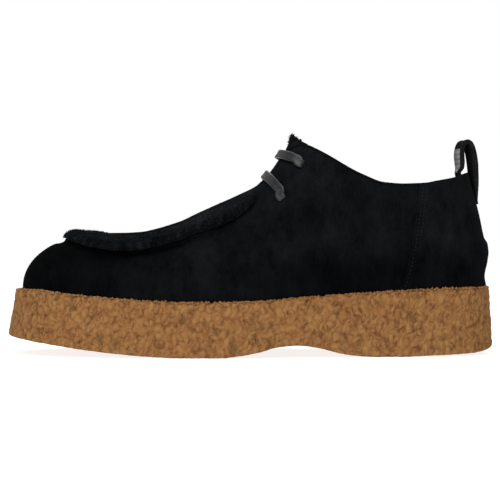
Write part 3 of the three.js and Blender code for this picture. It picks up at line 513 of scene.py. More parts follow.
def close(piece: bpy.types.Object, distance: float = 0.02) -> None:
    """Merges doubles, closes what is open and turns the faces outwards."""
    edit(
        piece,
        lambda: bpy.ops.mesh.remove_doubles(threshold=distance * MM),
        lambda: bpy.ops.mesh.normals_make_consistent(inside=False),
    )


def thicken(piece: bpy.types.Object, thickness: float, rim: int = 0, inner: int = 0) -> None:
    """Gives a wrapped blank its leather's thickness, inwards.

    Args:
        piece: the wrapped blank.
        thickness: millimetres.
        rim: material step for the cut edge.
        inner: material step for the inside.
    """
    changed(
        piece,
        "SOLIDIFY",
        thickness=thickness * MM,
        offset=-1.0,
        use_even_offset=True,
        thickness_clamp=1.0,
        material_offset_rim=rim,
        material_offset=inner,
    )


def join(name: str, pieces: Sequence[bpy.types.Object]) -> bpy.types.Object:
    """Joins pieces into the first one."""
    deselect()
    for piece in pieces:
        piece.select_set(True)
    bpy.context.view_layer.objects.active = pieces[0]
    bpy.ops.object.join()
    pieces[0].name = name
    return pieces[0]


def from_arrays(name: str, points: Array, faces: Sequence[Sequence[int]]) -> bpy.types.Object:
    """A piece from points in millimetres and faces of one length."""
    mesh = bpy.data.meshes.new(name)
    faces = np.asarray(faces, dtype=np.int32)
    count, corners = faces.shape
    mesh.vertices.add(len(points))
    mesh.vertices.foreach_set("co", (np.asarray(points) * MM).astype(np.float32).ravel())
    mesh.loops.add(count * corners)
    mesh.loops.foreach_set("vertex_index", faces.ravel())
    mesh.polygons.add(count)
    mesh.polygons.foreach_set("loop_start", np.arange(count, dtype=np.int32) * corners)
    mesh.update(calc_edges=True)
    mesh.validate()
    piece = bpy.data.objects.new(name, mesh)
    bpy.context.scene.collection.objects.link(piece)
    return piece


def copies(name: str, points: Array, faces: Array) -> bpy.types.Object:
    """A piece of many like parts.

    Args:
        name: the piece's name.
        points: parts, points of each, and x, y, z in millimetres.
        faces: triangles of one part.

    Returns:
        The piece.
    """
    count, each = points.shape[:2]
    moved = faces[None] + (np.arange(count) * each)[:, None, None]
    return from_arrays(name, points.reshape(-1, 3), moved.reshape(-1, 3))


def fitted(
    piece: bpy.types.Object,
    slot: Slot,
    materials: Sequence[bpy.types.Material],
    *nodes: str,
) -> bpy.types.Object:
    """Puts a finished piece on the shoe.

    Args:
        piece: the piece.
        slot: the record's material slot, not used.
        materials: its materials, in the order of its faces' numbers.
        nodes: CAD nodes that it stands for.

    Returns:
        The piece.
    """
    if materials:
        piece.data.materials.clear()
        for material in materials:
            piece.data.materials.append(material)
    piece.data.polygons.foreach_set("use_smooth", np.ones(len(piece.data.polygons), dtype=bool))
    piece.data.update()
    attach(piece, "root")
    if nodes:
        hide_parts(*nodes)
    LOG.info("%s: %d faces", piece.name, len(piece.data.polygons))
    return piece


def ripple(points: Array, size: float, seed: float = 0.0) -> Array:
    """Smooth noise from about -1 to 1.

    Args:
        points: places in millimetres.
        size: how wide its lumps are, in millimetres.
        seed: shifts it.

    Returns:
        One value for each place.
    """
    shift = Vector((seed * 17.3, seed * 5.1, seed * 9.7))
    scaled = points / size
    return np.array([noise.noise(Vector(p) + shift) for p in scaled])


def curve_through(points: Array, at: Array) -> tuple[Array, Array]:
    """A smooth curve through points.

    Args:
        points: the points to pass.
        at: shares of the way along, each point counting the same.

    Returns:
        Places on the curve, and unit directions along it.
    """
    padded = np.vstack((2 * points[0] - points[1], points, 2 * points[-1] - points[-2]))

    def place(u: float) -> Array:
        whole = np.clip(u, 0, 1) * (len(points) - 1)
        k = min(int(whole), len(points) - 2)
        w = whole - k
        p0, p1, p2, p3 = padded[k : k + 4]
        d0, d1, d2 = (
            max(float(np.sum((b - a) ** 2)) ** 0.25, 1e-4) for a, b in ((p0, p1), (p1, p2), (p2, p3))
        )
        t1 = ((p1 - p0) / d0 - (p2 - p0) / (d0 + d1) + (p2 - p1) / d1) * d1
        t2 = ((p2 - p1) / d1 - (p3 - p1) / (d1 + d2) + (p3 - p2) / d2) * d1
        c2, c3 = 3 * (p2 - p1) - 2 * t1 - t2, 2 * (p1 - p2) + t1 + t2
        return p1 + t1 * w + c2 * w * w + c3 * w**3

    places = np.array([place(u) for u in at])
    step = 1e-3
    ahead = np.array([place(u + step) for u in at]) - np.array([place(u - step) for u in at])
    return places, unit(ahead)


def tube(name: str, rings: Array) -> bpy.types.Object:
    """A closed strip or cord from rings of points.

    Args:
        name: the piece's name.
        rings: rings along, points around, and x, y, z in millimetres.

    Returns:
        The piece, its ends filled.
    """
    along, around = len(rings) - 1, rings.shape[1]
    piece, u, v = blank(name, along, around)
    i = np.rint(u * along).astype(int)
    j = np.rint(v * around).astype(int) % around
    wrap(piece, rings[i, j])
    hold(piece)
    bpy.ops.object.mode_set(mode="EDIT")
    bpy.ops.mesh.select_all(action="SELECT")
    bpy.ops.mesh.remove_doubles(threshold=0.001 * MM)
    bpy.ops.mesh.select_all(action="DESELECT")
    bpy.ops.mesh.select_mode(type="EDGE")
    bpy.ops.mesh.select_non_manifold(extend=False)
    bpy.ops.mesh.edge_face_add()
    bpy.ops.mesh.select_all(action="SELECT")
    bpy.ops.mesh.normals_make_consistent(inside=False)
    bpy.ops.mesh.select_mode(type="VERT")
    bpy.ops.object.mode_set(mode="OBJECT")
    return piece


def even_stations(side: float, grow: Callable[[Array], Array], count: int) -> Array:
    """Stations spaced evenly along one side of an outline grown in plan."""
    t = np.linspace(0, 1, 4001)
    x = LAST.station_x(t)
    nx, ny = LAST.normal(side, t)
    ledge = grow(x)
    places = np.stack((x + nx * ledge, LAST.outline(side, x) + ny * ledge), axis=1)
    run = run_along(places)
    return np.interp(np.linspace(0, run[-1], count + 1), run, t)


# Finishes


class Shader:
    """Nodes of one material, added by name and linked as they are made."""

    def __init__(self, name: str) -> None:
        """Starts a material with a plain surface shader."""
        self.material = bpy.data.materials.new(name)
        self.material.use_nodes = True
        self.tree = self.material.node_tree
        self.surface = next(n for n in self.tree.nodes if n.type == "BSDF_PRINCIPLED")
        self.place = self.add("ShaderNodeTexCoord").outputs["Object"]

    def add(self, kind: str, **values: object) -> bpy.types.Node:
        """Adds a node; values name its settings or its inputs."""
        node = self.tree.nodes.new(kind)
        for key, value in values.items():
            if hasattr(node, key):
                setattr(node, key, value)
            else:
                self.feed(node.inputs[key.replace("_", " ").capitalize()], value)
        return node

    def feed(self, socket: bpy.types.NodeSocket, value: object) -> None:
        """Links a socket, or sets it."""
        if isinstance(value, bpy.types.NodeSocket):
            self.tree.links.new(value, socket)
        else:
            socket.default_value = value

    def speckle(
        self,
        size: float,
        detail: float = 3.0,
        roughness: float = 0.55,
        stretch: tuple[float, float, float] | None = None,
    ) -> bpy.types.NodeSocket:
        """Noise with lumps of a size in millimetres, from 0 to 1."""
        place = self.place
        if stretch:
            mapping = self.add("ShaderNodeMapping")
            mapping.inputs["Scale"].default_value = stretch
            self.tree.links.new(place, mapping.inputs["Vector"])
            place = mapping.outputs["Vector"]
        node = self.add("ShaderNodeTexNoise")
        self.tree.links.new(place, node.inputs["Vector"])
        node.inputs["Scale"].default_value = 1000.0 / size
        node.inputs["Detail"].default_value = detail
        node.inputs["Roughness"].default_value = roughness
        return node.outputs["Fac"]

    def ramp(
        self, factor: bpy.types.NodeSocket, stops: Sequence[tuple[float, Sequence[float]]]
    ) -> bpy.types.NodeSocket:
        """Colours along a factor."""
        node = self.add("ShaderNodeValToRGB")
        self.tree.links.new(factor, node.inputs["Fac"])
        band = node.color_ramp
        while len(band.elements) < len(stops):
            band.elements.new(0.5)
        for element, (at, colour) in zip(band.elements, stops):
            element.position = at
            element.color = (*colour, 1.0)
        return node.outputs["Color"]

    def mix(
        self, kind: str, factor: object, first: object, second: object
    ) -> bpy.types.NodeSocket:
        """Two colours mixed."""
        node = self.add("ShaderNodeMix")
        node.data_type = "RGBA"
        node.blend_type = kind
        self.feed(node.inputs[0], factor)
        self.feed(node.inputs[6], first)
        self.feed(node.inputs[7], second)
        return node.outputs[2]

    def sum(self, first: object, second: object, kind: str = "ADD") -> bpy.types.NodeSocket:
        """Two numbers put together."""
        node = self.add("ShaderNodeMath")
        node.operation = kind
        self.feed(node.inputs[0], first)
        self.feed(node.inputs[1], second)
        return node.outputs[0]

    def blend(self, *parts: tuple[object, float]) -> bpy.types.NodeSocket:
        """Numbers added up, each with its own weight."""
        total, *others = (self.sum(value, weight, "MULTIPLY") for value, weight in parts)
        for other in others:
            total = self.sum(total, other)
        return total

    def span(
        self, value: bpy.types.NodeSocket, low: float, high: float, to: tuple[float, float]
    ) -> bpy.types.NodeSocket:
        """A number moved from one range to another."""
        node = self.add("ShaderNodeMapRange")
        self.feed(node.inputs["Value"], value)
        for key, number in zip(("From Min", "From Max", "To Min", "To Max"), (low, high, *to)):
            node.inputs[key].default_value = number
        return node.outputs[0]

    def bump(self, height: bpy.types.NodeSocket, depth: float, strength: float = 1.0) -> None:
        """Relief of a depth in millimetres, on top of what is there."""
        node = self.add("ShaderNodeBump")
        node.inputs["Strength"].default_value = strength
        node.inputs["Distance"].default_value = depth * MM
        self.tree.links.new(height, node.inputs["Height"])
        socket = self.surface.inputs["Normal"]
        if socket.is_linked:
            self.tree.links.new(socket.links[0].from_socket, node.inputs["Normal"])
        self.tree.links.new(node.outputs["Normal"], socket)

    def finish(self, colour: object, roughness: object, specular: float) -> None:
        """Sets or links the surface's colour, roughness and reflection."""
        self.feed(self.surface.inputs["Base Color"], colour)
        self.feed(self.surface.inputs["Roughness"], roughness)
        self.surface.inputs["Specular IOR Level"].default_value = specular

    def attribute(self, name: str) -> bpy.types.NodeSocket:
        """A number kept on the piece's points."""
        node = self.add("ShaderNodeAttribute")
        node.attribute_name = name
        return node.outputs["Fac"]


def grey(value: float, warm: float = 0.0) -> tuple[float, float, float]:
    """A grey, a little warm or cool."""
    return (value * (1 + warm), value, value * (1 - warm))


@dataclass(frozen=True)
class CrepeFinish:
    """Natural crepe: tan crumbs, with painted shade in the pits and cracks between them and lighter
    crests.
    """

    shaded_pit: tuple[float, float, float] = (0.132, 0.059, 0.021)
    body: tuple[float, float, float] = (0.226, 0.104, 0.036)
    crest: tuple[float, float, float] = (0.28, 0.14, 0.051)
    crack: float = 3.0
    roughness: float = 0.86

    def material(self) -> bpy.types.Material:
        """Makes the material."""
        s = Shader("crepe")
        # Painted shade: the colour follows the crumbs' height, darker in the pits and lighter on the
        # crests.
        relief = s.attribute("relief")
        fine = s.speckle(1.3, 3.0, 0.6)
        mixed = s.blend((relief, 0.75), (fine, 0.28))
        colour = s.ramp(mixed, ((0.2, self.shaded_pit), (0.5, self.body), (0.85, self.crest)))
        blotch = s.ramp(s.speckle(9.0, 2.0), ((0.35, (0.97, 0.92, 0.9)), (0.65, (1.02, 1.06, 1.02))))
        colour = s.mix("MULTIPLY", 1.0, colour, blotch)
        # Painted shade: narrow wandering cracks darken the colour; the same cracks are bumped in.
        wander = s.speckle(self.crack, 2.5, 0.55, (1.0, 1.0, 0.62))
        crack_and_shade = s.span(s.sum(s.sum(wander, 0.5, "SUBTRACT"), 0.0, "ABSOLUTE"), 0.0, 0.036, (1.0, 0.0))
        patchy = s.span(s.speckle(6.0, 2.0), 0.42, 0.58, (0.1, 0.9))
        crack_and_shade = s.sum(crack_and_shade, patchy, "MULTIPLY")
        colour = s.mix("MULTIPLY", crack_and_shade, colour, (0.6, 0.46, 0.34, 1.0))
        s.finish(colour, self.roughness, 0.12)
        s.bump(s.sum(1.0, crack_and_shade, "SUBTRACT"), 0.35, 0.8)
        s.bump(s.speckle(0.9, 3.0, 0.65), 0.25, 0.6)
        return s.material


@dataclass(frozen=True)
class HairFinish:
    """Short black hair on leather, brushed towards the toe and the sole."""

    name: str = "hair_on_leather"
    shade: float = 0.005
    sheen: float = 0.006
    stretch: tuple[float, float, float] = (1.0, 1.0, 0.28)
    contrast: float = 0.55

    def material(self) -> bpy.types.Material:
        """Makes the material."""
        s = Shader(self.name)
        clouds = s.speckle(22.0, 3.0, 0.6)
        strands = s.speckle(1.1, 2.0, 0.6, self.stretch)
        streaks = s.speckle(4.6, 3.0, 0.6, self.stretch)
        tone = s.blend((clouds, 0.53), (streaks, 0.27), (strands, 0.2))
        dark, light = self.shade * (1 - self.contrast), self.shade * (1 + self.contrast)
        colour = s.ramp(tone, ((0.36, grey(dark, -0.05)), (0.64, grey(light, -0.13))))
        # Painted shade: the hair is mixed towards near black where its points carry a painted shade
        # value.
        painted_shade = s.sum(s.attribute("painted_shade"), 0.9, "MULTIPLY")
        colour = s.mix("MIX", painted_shade, colour, (0.0006, 0.0006, 0.0007, 1.0))
        s.finish(colour, s.span(strands, 0.3, 0.7, (0.72, 0.92)), 0.0)
        s.surface.inputs["Sheen Weight"].default_value = self.sheen
        s.surface.inputs["Sheen Roughness"].default_value = 0.45
        s.bump(s.speckle(0.55, 2.0, 0.6, self.stretch), 0.22, 0.8)
        s.bump(s.speckle(5.0, 3.0, 0.6), 0.5, 0.5)
        return s.material


@dataclass(frozen=True)
class LeatherFinish:
    """Smooth leather with a fine grain."""

    name: str
    shade: float
    warm: float = 0.0
    roughness: float = 0.45
    gloss: float = 0.35
    grain: float = 0.7
    depth: float = 0.05

    def material(self) -> bpy.types.Material:
        """Makes the material."""
        s = Shader(self.name)
        dark, light = grey(self.shade * 0.75, self.warm), grey(self.shade * 1.25, self.warm)
        colour = s.ramp(s.speckle(6.0, 4.0), ((0.35, dark), (0.65, light)))
        rough = s.span(s.speckle(3.0, 3.0), 0.3, 0.7, (self.roughness - 0.06, self.roughness + 0.1))
        s.finish(colour, rough, self.gloss)
        cells = s.add("ShaderNodeTexVoronoi")
        cells.feature = "DISTANCE_TO_EDGE"
        cells.inputs["Scale"].default_value = 1000.0 / self.grain
        s.tree.links.new(s.place, cells.inputs["Vector"])
        s.bump(s.span(cells.outputs["Distance"], 0.0, 0.25, (0.0, 1.0)), self.depth, 0.7)
        s.bump(s.speckle(2.6, 2.0), self.depth * 2, 0.5)
        return s.material


@dataclass(frozen=True)
class TapeFinish:
    """Plain grey woven tape."""

    shade: float = 0.19
    thread: float = 0.45

    def material(self) -> bpy.types.Material:
        """Makes the material."""
        s = Shader("woven_tape")
        ribs = s.add("ShaderNodeTexWave")
        ribs.bands_direction = "Z"
        ribs.inputs["Scale"].default_value = 1000.0 / self.thread / 20.0
        s.tree.links.new(s.place, ribs.inputs["Vector"])
        tone = s.blend((ribs.outputs["Fac"], 0.5), (s.speckle(1.0), 0.5))
        colour = s.ramp(tone, ((0.3, grey(self.shade * 0.7)), (0.7, grey(self.shade * 1.2))))
        s.finish(colour, 0.8, 0.25)
        s.bump(ribs.outputs["Fac"], 0.08, 0.7)
        return s.material


@dataclass(frozen=True)
class ThreadFinish:
    """Waxed sewing thread."""

    shade: float = 0.009

    def material(self) -> bpy.types.Material:
        """Makes the material."""
        s = Shader("thread")
        twist = s.speckle(0.4, 2.0)
        colour = s.ramp(twist, ((0.3, grey(self.shade * 0.6)), (0.7, grey(self.shade * 1.4))))
        s.finish(colour, 0.6, 0.12)
        s.bump(twist, 0.08, 0.6)
        return s.material


@dataclass(frozen=True)
class Wardrobe:
    """The finishes of the whole shoe."""

    crepe: bpy.types.Material
    hair: bpy.types.Material
    seam_hair: bpy.types.Material
    apron_hair_painted_highlight: bpy.types.Material
    lining: bpy.types.Material
    binding: bpy.types.Material
    strap: bpy.types.Material
    lace: bpy.types.Material
    tape: bpy.types.Material
    thread: bpy.types.Material


def make_wardrobe() -> Wardrobe:
    """Makes all finishes once."""
    return Wardrobe(
        crepe=CrepeFinish().material(),
        hair=HairFinish().material(),
        seam_hair=HairFinish("gathered_hair", 0.0068, 0.02, (0.6, 0.6, 0.6), 0.6).material(),
        # Painted highlight: the apron's hair is about three times lighter than the upper's, for a
        # light strip along the apron's top.
        apron_hair_painted_highlight=HairFinish("apron_hair_painted_highlight", 0.015, 0.03, (0.6, 0.6, 0.6), 0.6).material(),
        lining=LeatherFinish("lining_leather", 0.012, 0.12, 0.65, 0.1).material(),
        binding=LeatherFinish("binding_leather", 0.004, 0.0, 0.6, 0.0).material(),
        strap=LeatherFinish("strap_leather", 0.011, 0.0, 0.6, 0.0).material(),
        lace=LeatherFinish("lace_leather", 0.0115, 0.0, 0.34, 0.28).material(),
        tape=TapeFinish().material(),
        thread=ThreadFinish().material(),
    )


# Sole


@dataclass
class CrepeSole:
    """The thick crepe sole: flared side, rounded edges and crumbly relief all over it."""

    top_ledge: float = 3.0
    top_radius: float = 2.6
    ground_radius: float = 1.4
    around: int = 500
    side_rows: int = 50
    bottom_rows: int = 26
    crumb: float = 3.2
    depth: float = 1.15

    def ground_ledge(self, x: Array) -> Array:
        """How far the ground edge stands out past the upper."""
        toe = 1 - smoothstep(LAST.share(x), 0.02, 0.3)
        heel = smoothstep(LAST.share(x), 0.7, 0.98)
        side = LAST.side_ledge * (1 - toe - heel)
        return LAST.toe_ledge * toe + LAST.heel_ledge * heel + side

    def upper_ledge(self, x: Array) -> Array:
        """The same for the top edge, before it is rounded."""
        return np.minimum(self.top_ledge + self.top_radius / 2, self.ground_ledge(x) * 0.62)

    def profile(self) -> list[tuple[Callable, Callable]]:
        """Rows from the underside up the side and over the ledge.

        Returns:
            For each row how far it stands out at x, and its height.
        """
        rows = []
        for turn in (0, 30, 60):
            a = math.radians(turn)
            rows.append(
                (
                    lambda x, a=a: self.ground_ledge(x) - self.ground_radius * (1 - math.sin(a)),
                    lambda px, x, a=a: LAST.sole_bottom(px) + self.ground_radius * (1 - math.cos(a)),
                )
            )
        for k in range(self.side_rows + 1):
            share = k / self.side_rows
            rows.append((self._flare(share), self._between(share)))
        for turn in (20, 40, 60, 80, 90):
            a = math.radians(turn)
            rows.append(
                (
                    lambda x, a=a: self.upper_ledge(x) - self.top_radius * (1 - math.cos(a)),
                    lambda px, x, a=a: LAST.sole_top(x) - self.top_radius * (1 - math.sin(a)),
                )
            )
        for inner, under in ((0.75, 0.0), (0.45, 0.0), (0.15, 0.0), (-0.2, 0.8), (-0.7, 0.8)):
            rows.append(
                (
                    lambda x, inner=inner, under=under: (
                        (self.upper_ledge(x) - self.top_radius) * inner - under
                    ),
                    lambda px, x: LAST.sole_top(x),
                )
            )
        return rows

    def _flare(self, share: float) -> Callable[[Array], Array]:
        """Ledge at a share of the way up the side."""
        return lambda x: self.ground_ledge(x) * (1 - share) + self.upper_ledge(x) * share

    def _between(self, share: float) -> Callable[[Array, Array], Array]:
        """Height at a share of the way up the side, between the rounded edges."""

        def height(px: Array, x: Array) -> Array:
            low = LAST.sole_bottom(px) + self.ground_radius
            high = LAST.sole_top(x) - self.top_radius
            return low + (high - low) * share

        return height

    def ring(self, out: Callable, height: Callable, stations: dict[Side, Array]) -> Array:
        """One row of points around the sole."""
        parts = []
        for side in (Side.OUTER, Side.INNER):
            t = stations[side]
            if side is Side.INNER:
                t = t[-2:0:-1]
            x = LAST.station_x(t)
            nx, ny = LAST.normal(side.value, t)
            px = x + nx * out(x)
            py = LAST.outline(side.value, x) + ny * out(x)
            parts.append(np.stack((px, py, height(px, x)), axis=1))
        return np.vstack(parts)

    def relief(self, points: Array) -> Array:
        """Height of the crumbs from 0 in the pits to 1 on their crests."""
        warp = np.stack([ripple(points, 5.0, k) for k in (1, 2, 3)], axis=1)
        bent = (points + warp * 2.2) * (1.0, 1.0, 0.62)
        ridged = 1 - np.abs(ripple(bent, self.crumb * 1.25, 4)) * 2.2
        lumps = np.empty(len(points))
        for k, p in enumerate(bent / self.crumb):
            near = noise.voronoi(Vector(p))[0]
            lumps[k] = near[1] - near[0]
        fine = ripple(points, 1.3, 6)
        value = 0.42 * np.clip(ridged, 0, 1) + 0.5 * np.clip(lumps * 2.6, 0, 1) + 0.12 * fine + 0.04
        return np.clip(value, 0, 1)

    def build(self, finish: bpy.types.Material) -> bpy.types.Object:
        """Makes the sole.

        Args:
            finish: the crepe.

        Returns:
            The sole.
        """
        half = self.around
        stations = {side: even_stations(side.value, self.ground_ledge, half) for side in Side}
        rings = np.stack([self.ring(out, height, stations) for out, height in self.profile()])
        around = rings.shape[1]
        piece, u, v = blank("crepe_sole_dressed", around, len(rings) - 1)
        i = np.rint(u * around).astype(int) % around
        j = np.rint(v * (len(rings) - 1)).astype(int)
        wrap(piece, rings[j, i])
        caps = [self.cap("under_cap", rings[0], half, self.bottom_rows)]
        caps.append(self.cap("upper_cap", rings[-1], half, 1))
        sole = join("crepe_sole_dressed", [piece, *caps])
        close(sole, 0.01)
        points, normals = points_of(sole), read(sole, "normal")
        height = self.relief(points)
        above = smoothstep(points[:, 2] - LAST.sole_bottom(points[:, 0]), 0.3, 2.5)
        share = (0.25 + 0.75 * above) * (1 - self.inner_share(points))
        shifted = points + normals * ((height - 0.62) * self.depth * share)[:, None]
        shifted[:, 2] = np.maximum(shifted[:, 2], 0.0)
        wrap(sole, shifted)
        # The height also sets the crepe's colour, as painted shade in the pits.
        mark(sole, "relief", height)
        return fitted(sole, Slot.CREPE, [finish], "crepe_sole")

    def inner_share(self, points: Array) -> Array:
        """1 for points well under the upper and 0 for points outside it."""
        x = np.clip(points[:, 0], LAST.toe + 0.01, LAST.heel - 0.01)
        side = np.where(points[:, 1] > LAST.spine(x), 1.0, -1.0)
        edge = np.abs(LAST.outline(side, x))
        past = edge - np.abs(points[:, 1])
        past = np.where((points[:, 0] < LAST.toe) | (points[:, 0] > LAST.heel), -5.0, past)
        return smoothstep(past, 1.0, 4.0) * (points[:, 2] > LAST.sole_top(x) - 2.0)

    def cap(self, name: str, ring: Array, half: int, rows: int) -> bpy.types.Object:
        """Strips across from side to side that close one end of the sole."""
        count = len(ring)
        piece, u, v = blank(name, half, rows)
        i = np.rint(u * half).astype(int)
        outer, inner = ring[i], ring[(count - i) % count]
        wrap(piece, outer * (1 - v[:, None]) + inner * v[:, None])
        return piece


@dataclass
class LedgeCrumbs:
    """Loose crumbs of crepe along the ledge, where the sole was trimmed against the upper."""

    count: int = 1700
    size: float = 0.62
    seed: int = 12

    def build(self, ledge: Callable[[Array], Array], finish: bpy.types.Material) -> None:
        """Makes the crumbs.

        Args:
            ledge: how far the sole's top edge stands out at x.
            finish: the crepe.
        """
        rng = np.random.default_rng(self.seed)
        model = made(bpy.ops.mesh.primitive_ico_sphere_add, subdivisions=1, radius=MM)
        ball = points_of(model)
        faces = np.array([list(face.vertices) for face in model.data.polygons])
        bpy.data.objects.remove(model)
        spots = []
        for side in (-1.0, 1.0):
            stations = even_stations(side, ledge, 600)
            t = np.interp(rng.uniform(0, 1, self.count // 2), np.linspace(0, 1, 601), stations)
            x = LAST.station_x(t)
            nx, ny = LAST.normal(side, t)
            out = 0.2 + rng.uniform(0, 1, len(t)) ** 1.4 * (ledge(x) - 0.4)
            px, py = x + nx * out, LAST.outline(side, x) + ny * out
            down = 0.35 * smoothstep(out, ledge(x) - 1.6, ledge(x))
            spots.append(np.stack((px, py, LAST.sole_top(x) + 0.15 - down * 2), axis=1))
        spots = np.vstack(spots)
        stretch = self.size * rng.uniform(0.45, 1.15, (len(spots), 1, 3)) * (1.0, 1.0, 1.25)
        jitter = 1 + 0.3 * rng.normal(0, 1, (len(spots), len(ball), 1))
        points = spots[:, None] + ball[None] * stretch * np.clip(jitter, 0.5, 1.6)
        piece = copies("ledge_crumbs", points, faces)
        mark(piece, "relief", np.repeat(rng.uniform(0.55, 1.0, len(spots)), len(ball)))
        fitted(piece, Slot.CREPE, [finish])


# Upper


@dataclass(frozen=True)
class Crease:
    """A soft fold: back from the toe and height at each end, width and depth in millimetres."""

    start: tuple[float, float]
    end: tuple[float, float]
    width: float
    depth: float

    def field(self, points: Array) -> Array:
        """How far it pushes the leather in at each place."""
        a = np.array((LAST.toe + self.start[0], self.start[1]))
        b = np.array((LAST.toe + self.end[0], self.end[1]))
        run = b - a
        flat = points[:, [0, 2]] - a
        along = np.clip(flat @ run / (run @ run), 0, 1)
        off = np.linalg.norm(flat - along[:, None] * run, axis=1)
        fade = np.sin(np.pi * np.clip(along * 0.8 + 0.1, 0, 1))
        return self.depth * fade * np.exp(-((off / self.width) ** 2))


@dataclass(frozen=True)
class PaintedShadeSpot:
    """A patch of painted shade on the hair: back from the toe, height, reach and share."""

    back: float
    height: float
    long: float
    tall: float
    share: float

    def field(self, points: Array) -> Array:
        """How dark it makes each place, from 0 to its share."""
        along = (points[:, 0] - LAST.toe - self.back) / self.long
        up = (points[:, 2] - self.height) / self.tall
        return self.share * np.exp(-(np.abs(along) ** 2.6) - np.abs(up) ** 2.6)


# Painted shade: darker patches at the toe, low on the waist and the heel, on the apron and round the
# throat.
PAINTED_SHADE_SPOTS = (
    PaintedShadeSpot(12.0, 52.0, 68.0, 26.0, 0.78),
    PaintedShadeSpot(64.0, 66.0, 34.0, 9.0, 0.55),
    PaintedShadeSpot(196.0, 47.0, 52.0, 15.0, 0.66),
    PaintedShadeSpot(262.0, 46.0, 34.0, 13.0, 0.3),
    PaintedShadeSpot(58.0, 80.0, 40.0, 8.0, 0.35),
    PaintedShadeSpot(208.0, 86.0, 16.0, 14.0, 0.35),
    PaintedShadeSpot(176.0, 84.0, 11.0, 12.0, 0.25),
    PaintedShadeSpot(136.0, 74.0, 14.0, 16.0, 0.3),
)


def mark(piece: bpy.types.Object, name: str, values: Array) -> None:
    """Keeps a number on each point of a piece."""
    layer = piece.data.attributes.new(name, "FLOAT", "POINT")
    layer.data.foreach_set("value", values.astype(np.float32))


def painted_shade_of(points: Array) -> Array:
    """How much painted shade darkens the hair at each place."""
    whole = sum(spot.field(points) for spot in PAINTED_SHADE_SPOTS)
    return np.clip(whole * (1 + 0.3 * ripple(points, 15.0, 61)), 0, 1)


@dataclass
class Upper:
    """The hollow upper: side wall, apron and quarters in one skin of hair-on leather."""

    along: int = 300
    up: int = 66
    hollow_start: float = 5.0
    hollow_width: float = 8.5
    hollow_depth: float = 1.1
    creases: tuple[Crease, ...] = (
        Crease((124, 82), (148, 52), 5.0, 0.9),
        Crease((136, 86), (164, 60), 5.5, 0.8),
        Crease((112, 70), (132, 48), 4.5, 0.5),
        Crease((150, 94), (176, 74), 5.0, -0.5),
        Crease((196, 100), (214, 74), 8.0, 0.7),
        Crease((226, 88), (212, 66), 6.0, 0.6),
        Crease((60, 50), (110, 46), 9.0, -0.5),
    )

    def skin(self, side: float, t: Array, v: Array, grow: Array | float = 0.0) -> Array:
        """Points of the skin; v runs from the sole to its edge."""
        return LAST.point(side, t, LAST.turned(t, v * LAST.top_angle(side, t)), grow)

    def dress(self, points: Array) -> Array:
        """How far the leather stands in or out at each place."""
        fold = sum(-crease.field(points) for crease in self.creases)
        soft = ripple(points, 26.0, 11) * 0.35 + ripple(points, 9.0, 12) * 0.14
        keep = smoothstep(points[:, 2] - LAST.sole_top(points[:, 0]), 1.0, 9.0)
        return (fold + soft) * keep

    def half(self, side: Side) -> bpy.types.Object:
        """One side of the skin."""
        s = float(side.value)
        piece, u, v = blank("upper_" + side.name.lower(), self.along, self.up)
        t = np.interp(u, np.linspace(0, 1, self.along + 1), self.stations(s))
        flat = self.skin(s, t, v)
        ease = smoothstep(np.minimum(t, 1 - t), 0.0, 0.02)
        hollow = self.hollow(s, t, v, flat)
        wrap(piece, self.skin(s, t, v, self.dress(flat) * ease - self.hollow_depth * hollow))
        # Painted shade: the spots, and the band below the apron seam, darken the hair's colour.
        mark(piece, "painted_shade", np.maximum(painted_shade_of(flat), hollow))
        return piece

    def hollow(self, side: float, t: Array, v: Array, flat: Array) -> Array:
        """1 where the leather is drawn in just below the apron seam and 0 away from it; the same band
        is painted as shade on the hair.
        """
        below = -OUTLINE.offset(side, t, v * LAST.top_angle(side, t)) - self.hollow_start
        uneven = self.hollow_width * (1 + 0.35 * ripple(flat, 12.0, 13))
        band = smoothstep(below, -1.5, 0.6) * (1 - smoothstep(below, 1.8, uneven))
        share = LAST.share(LAST.station_x(t))
        return band * (1 - smoothstep(share, 0.3, 0.46))

    def stations(self, side: float) -> Array:
        """Stations for the skin's columns, a mix of even spacing and the last's own."""
        even = even_stations(side, lambda x: x * 0.0, self.along)
        return even * 0.85 + np.linspace(0, 1, self.along + 1) * 0.15

    def build(
        self, hair: bpy.types.Material, binding: bpy.types.Material, lining: bpy.types.Material
    ) -> bpy.types.Object:
        """Makes the upper with its lining.

        Args:
            hair: the outside.
            binding: the cut edge.
            lining: the inside.

        Returns:
            The upper.
        """
        upper = join("upper_dressed", [self.half(side) for side in Side])
        for material in (hair, binding, lining):
            upper.data.materials.append(material)
        close(upper)
        thicken(upper, LAST.wall - 0.1, rim=1, inner=2)
        return upper


# Seam, panel, tongue and footbed


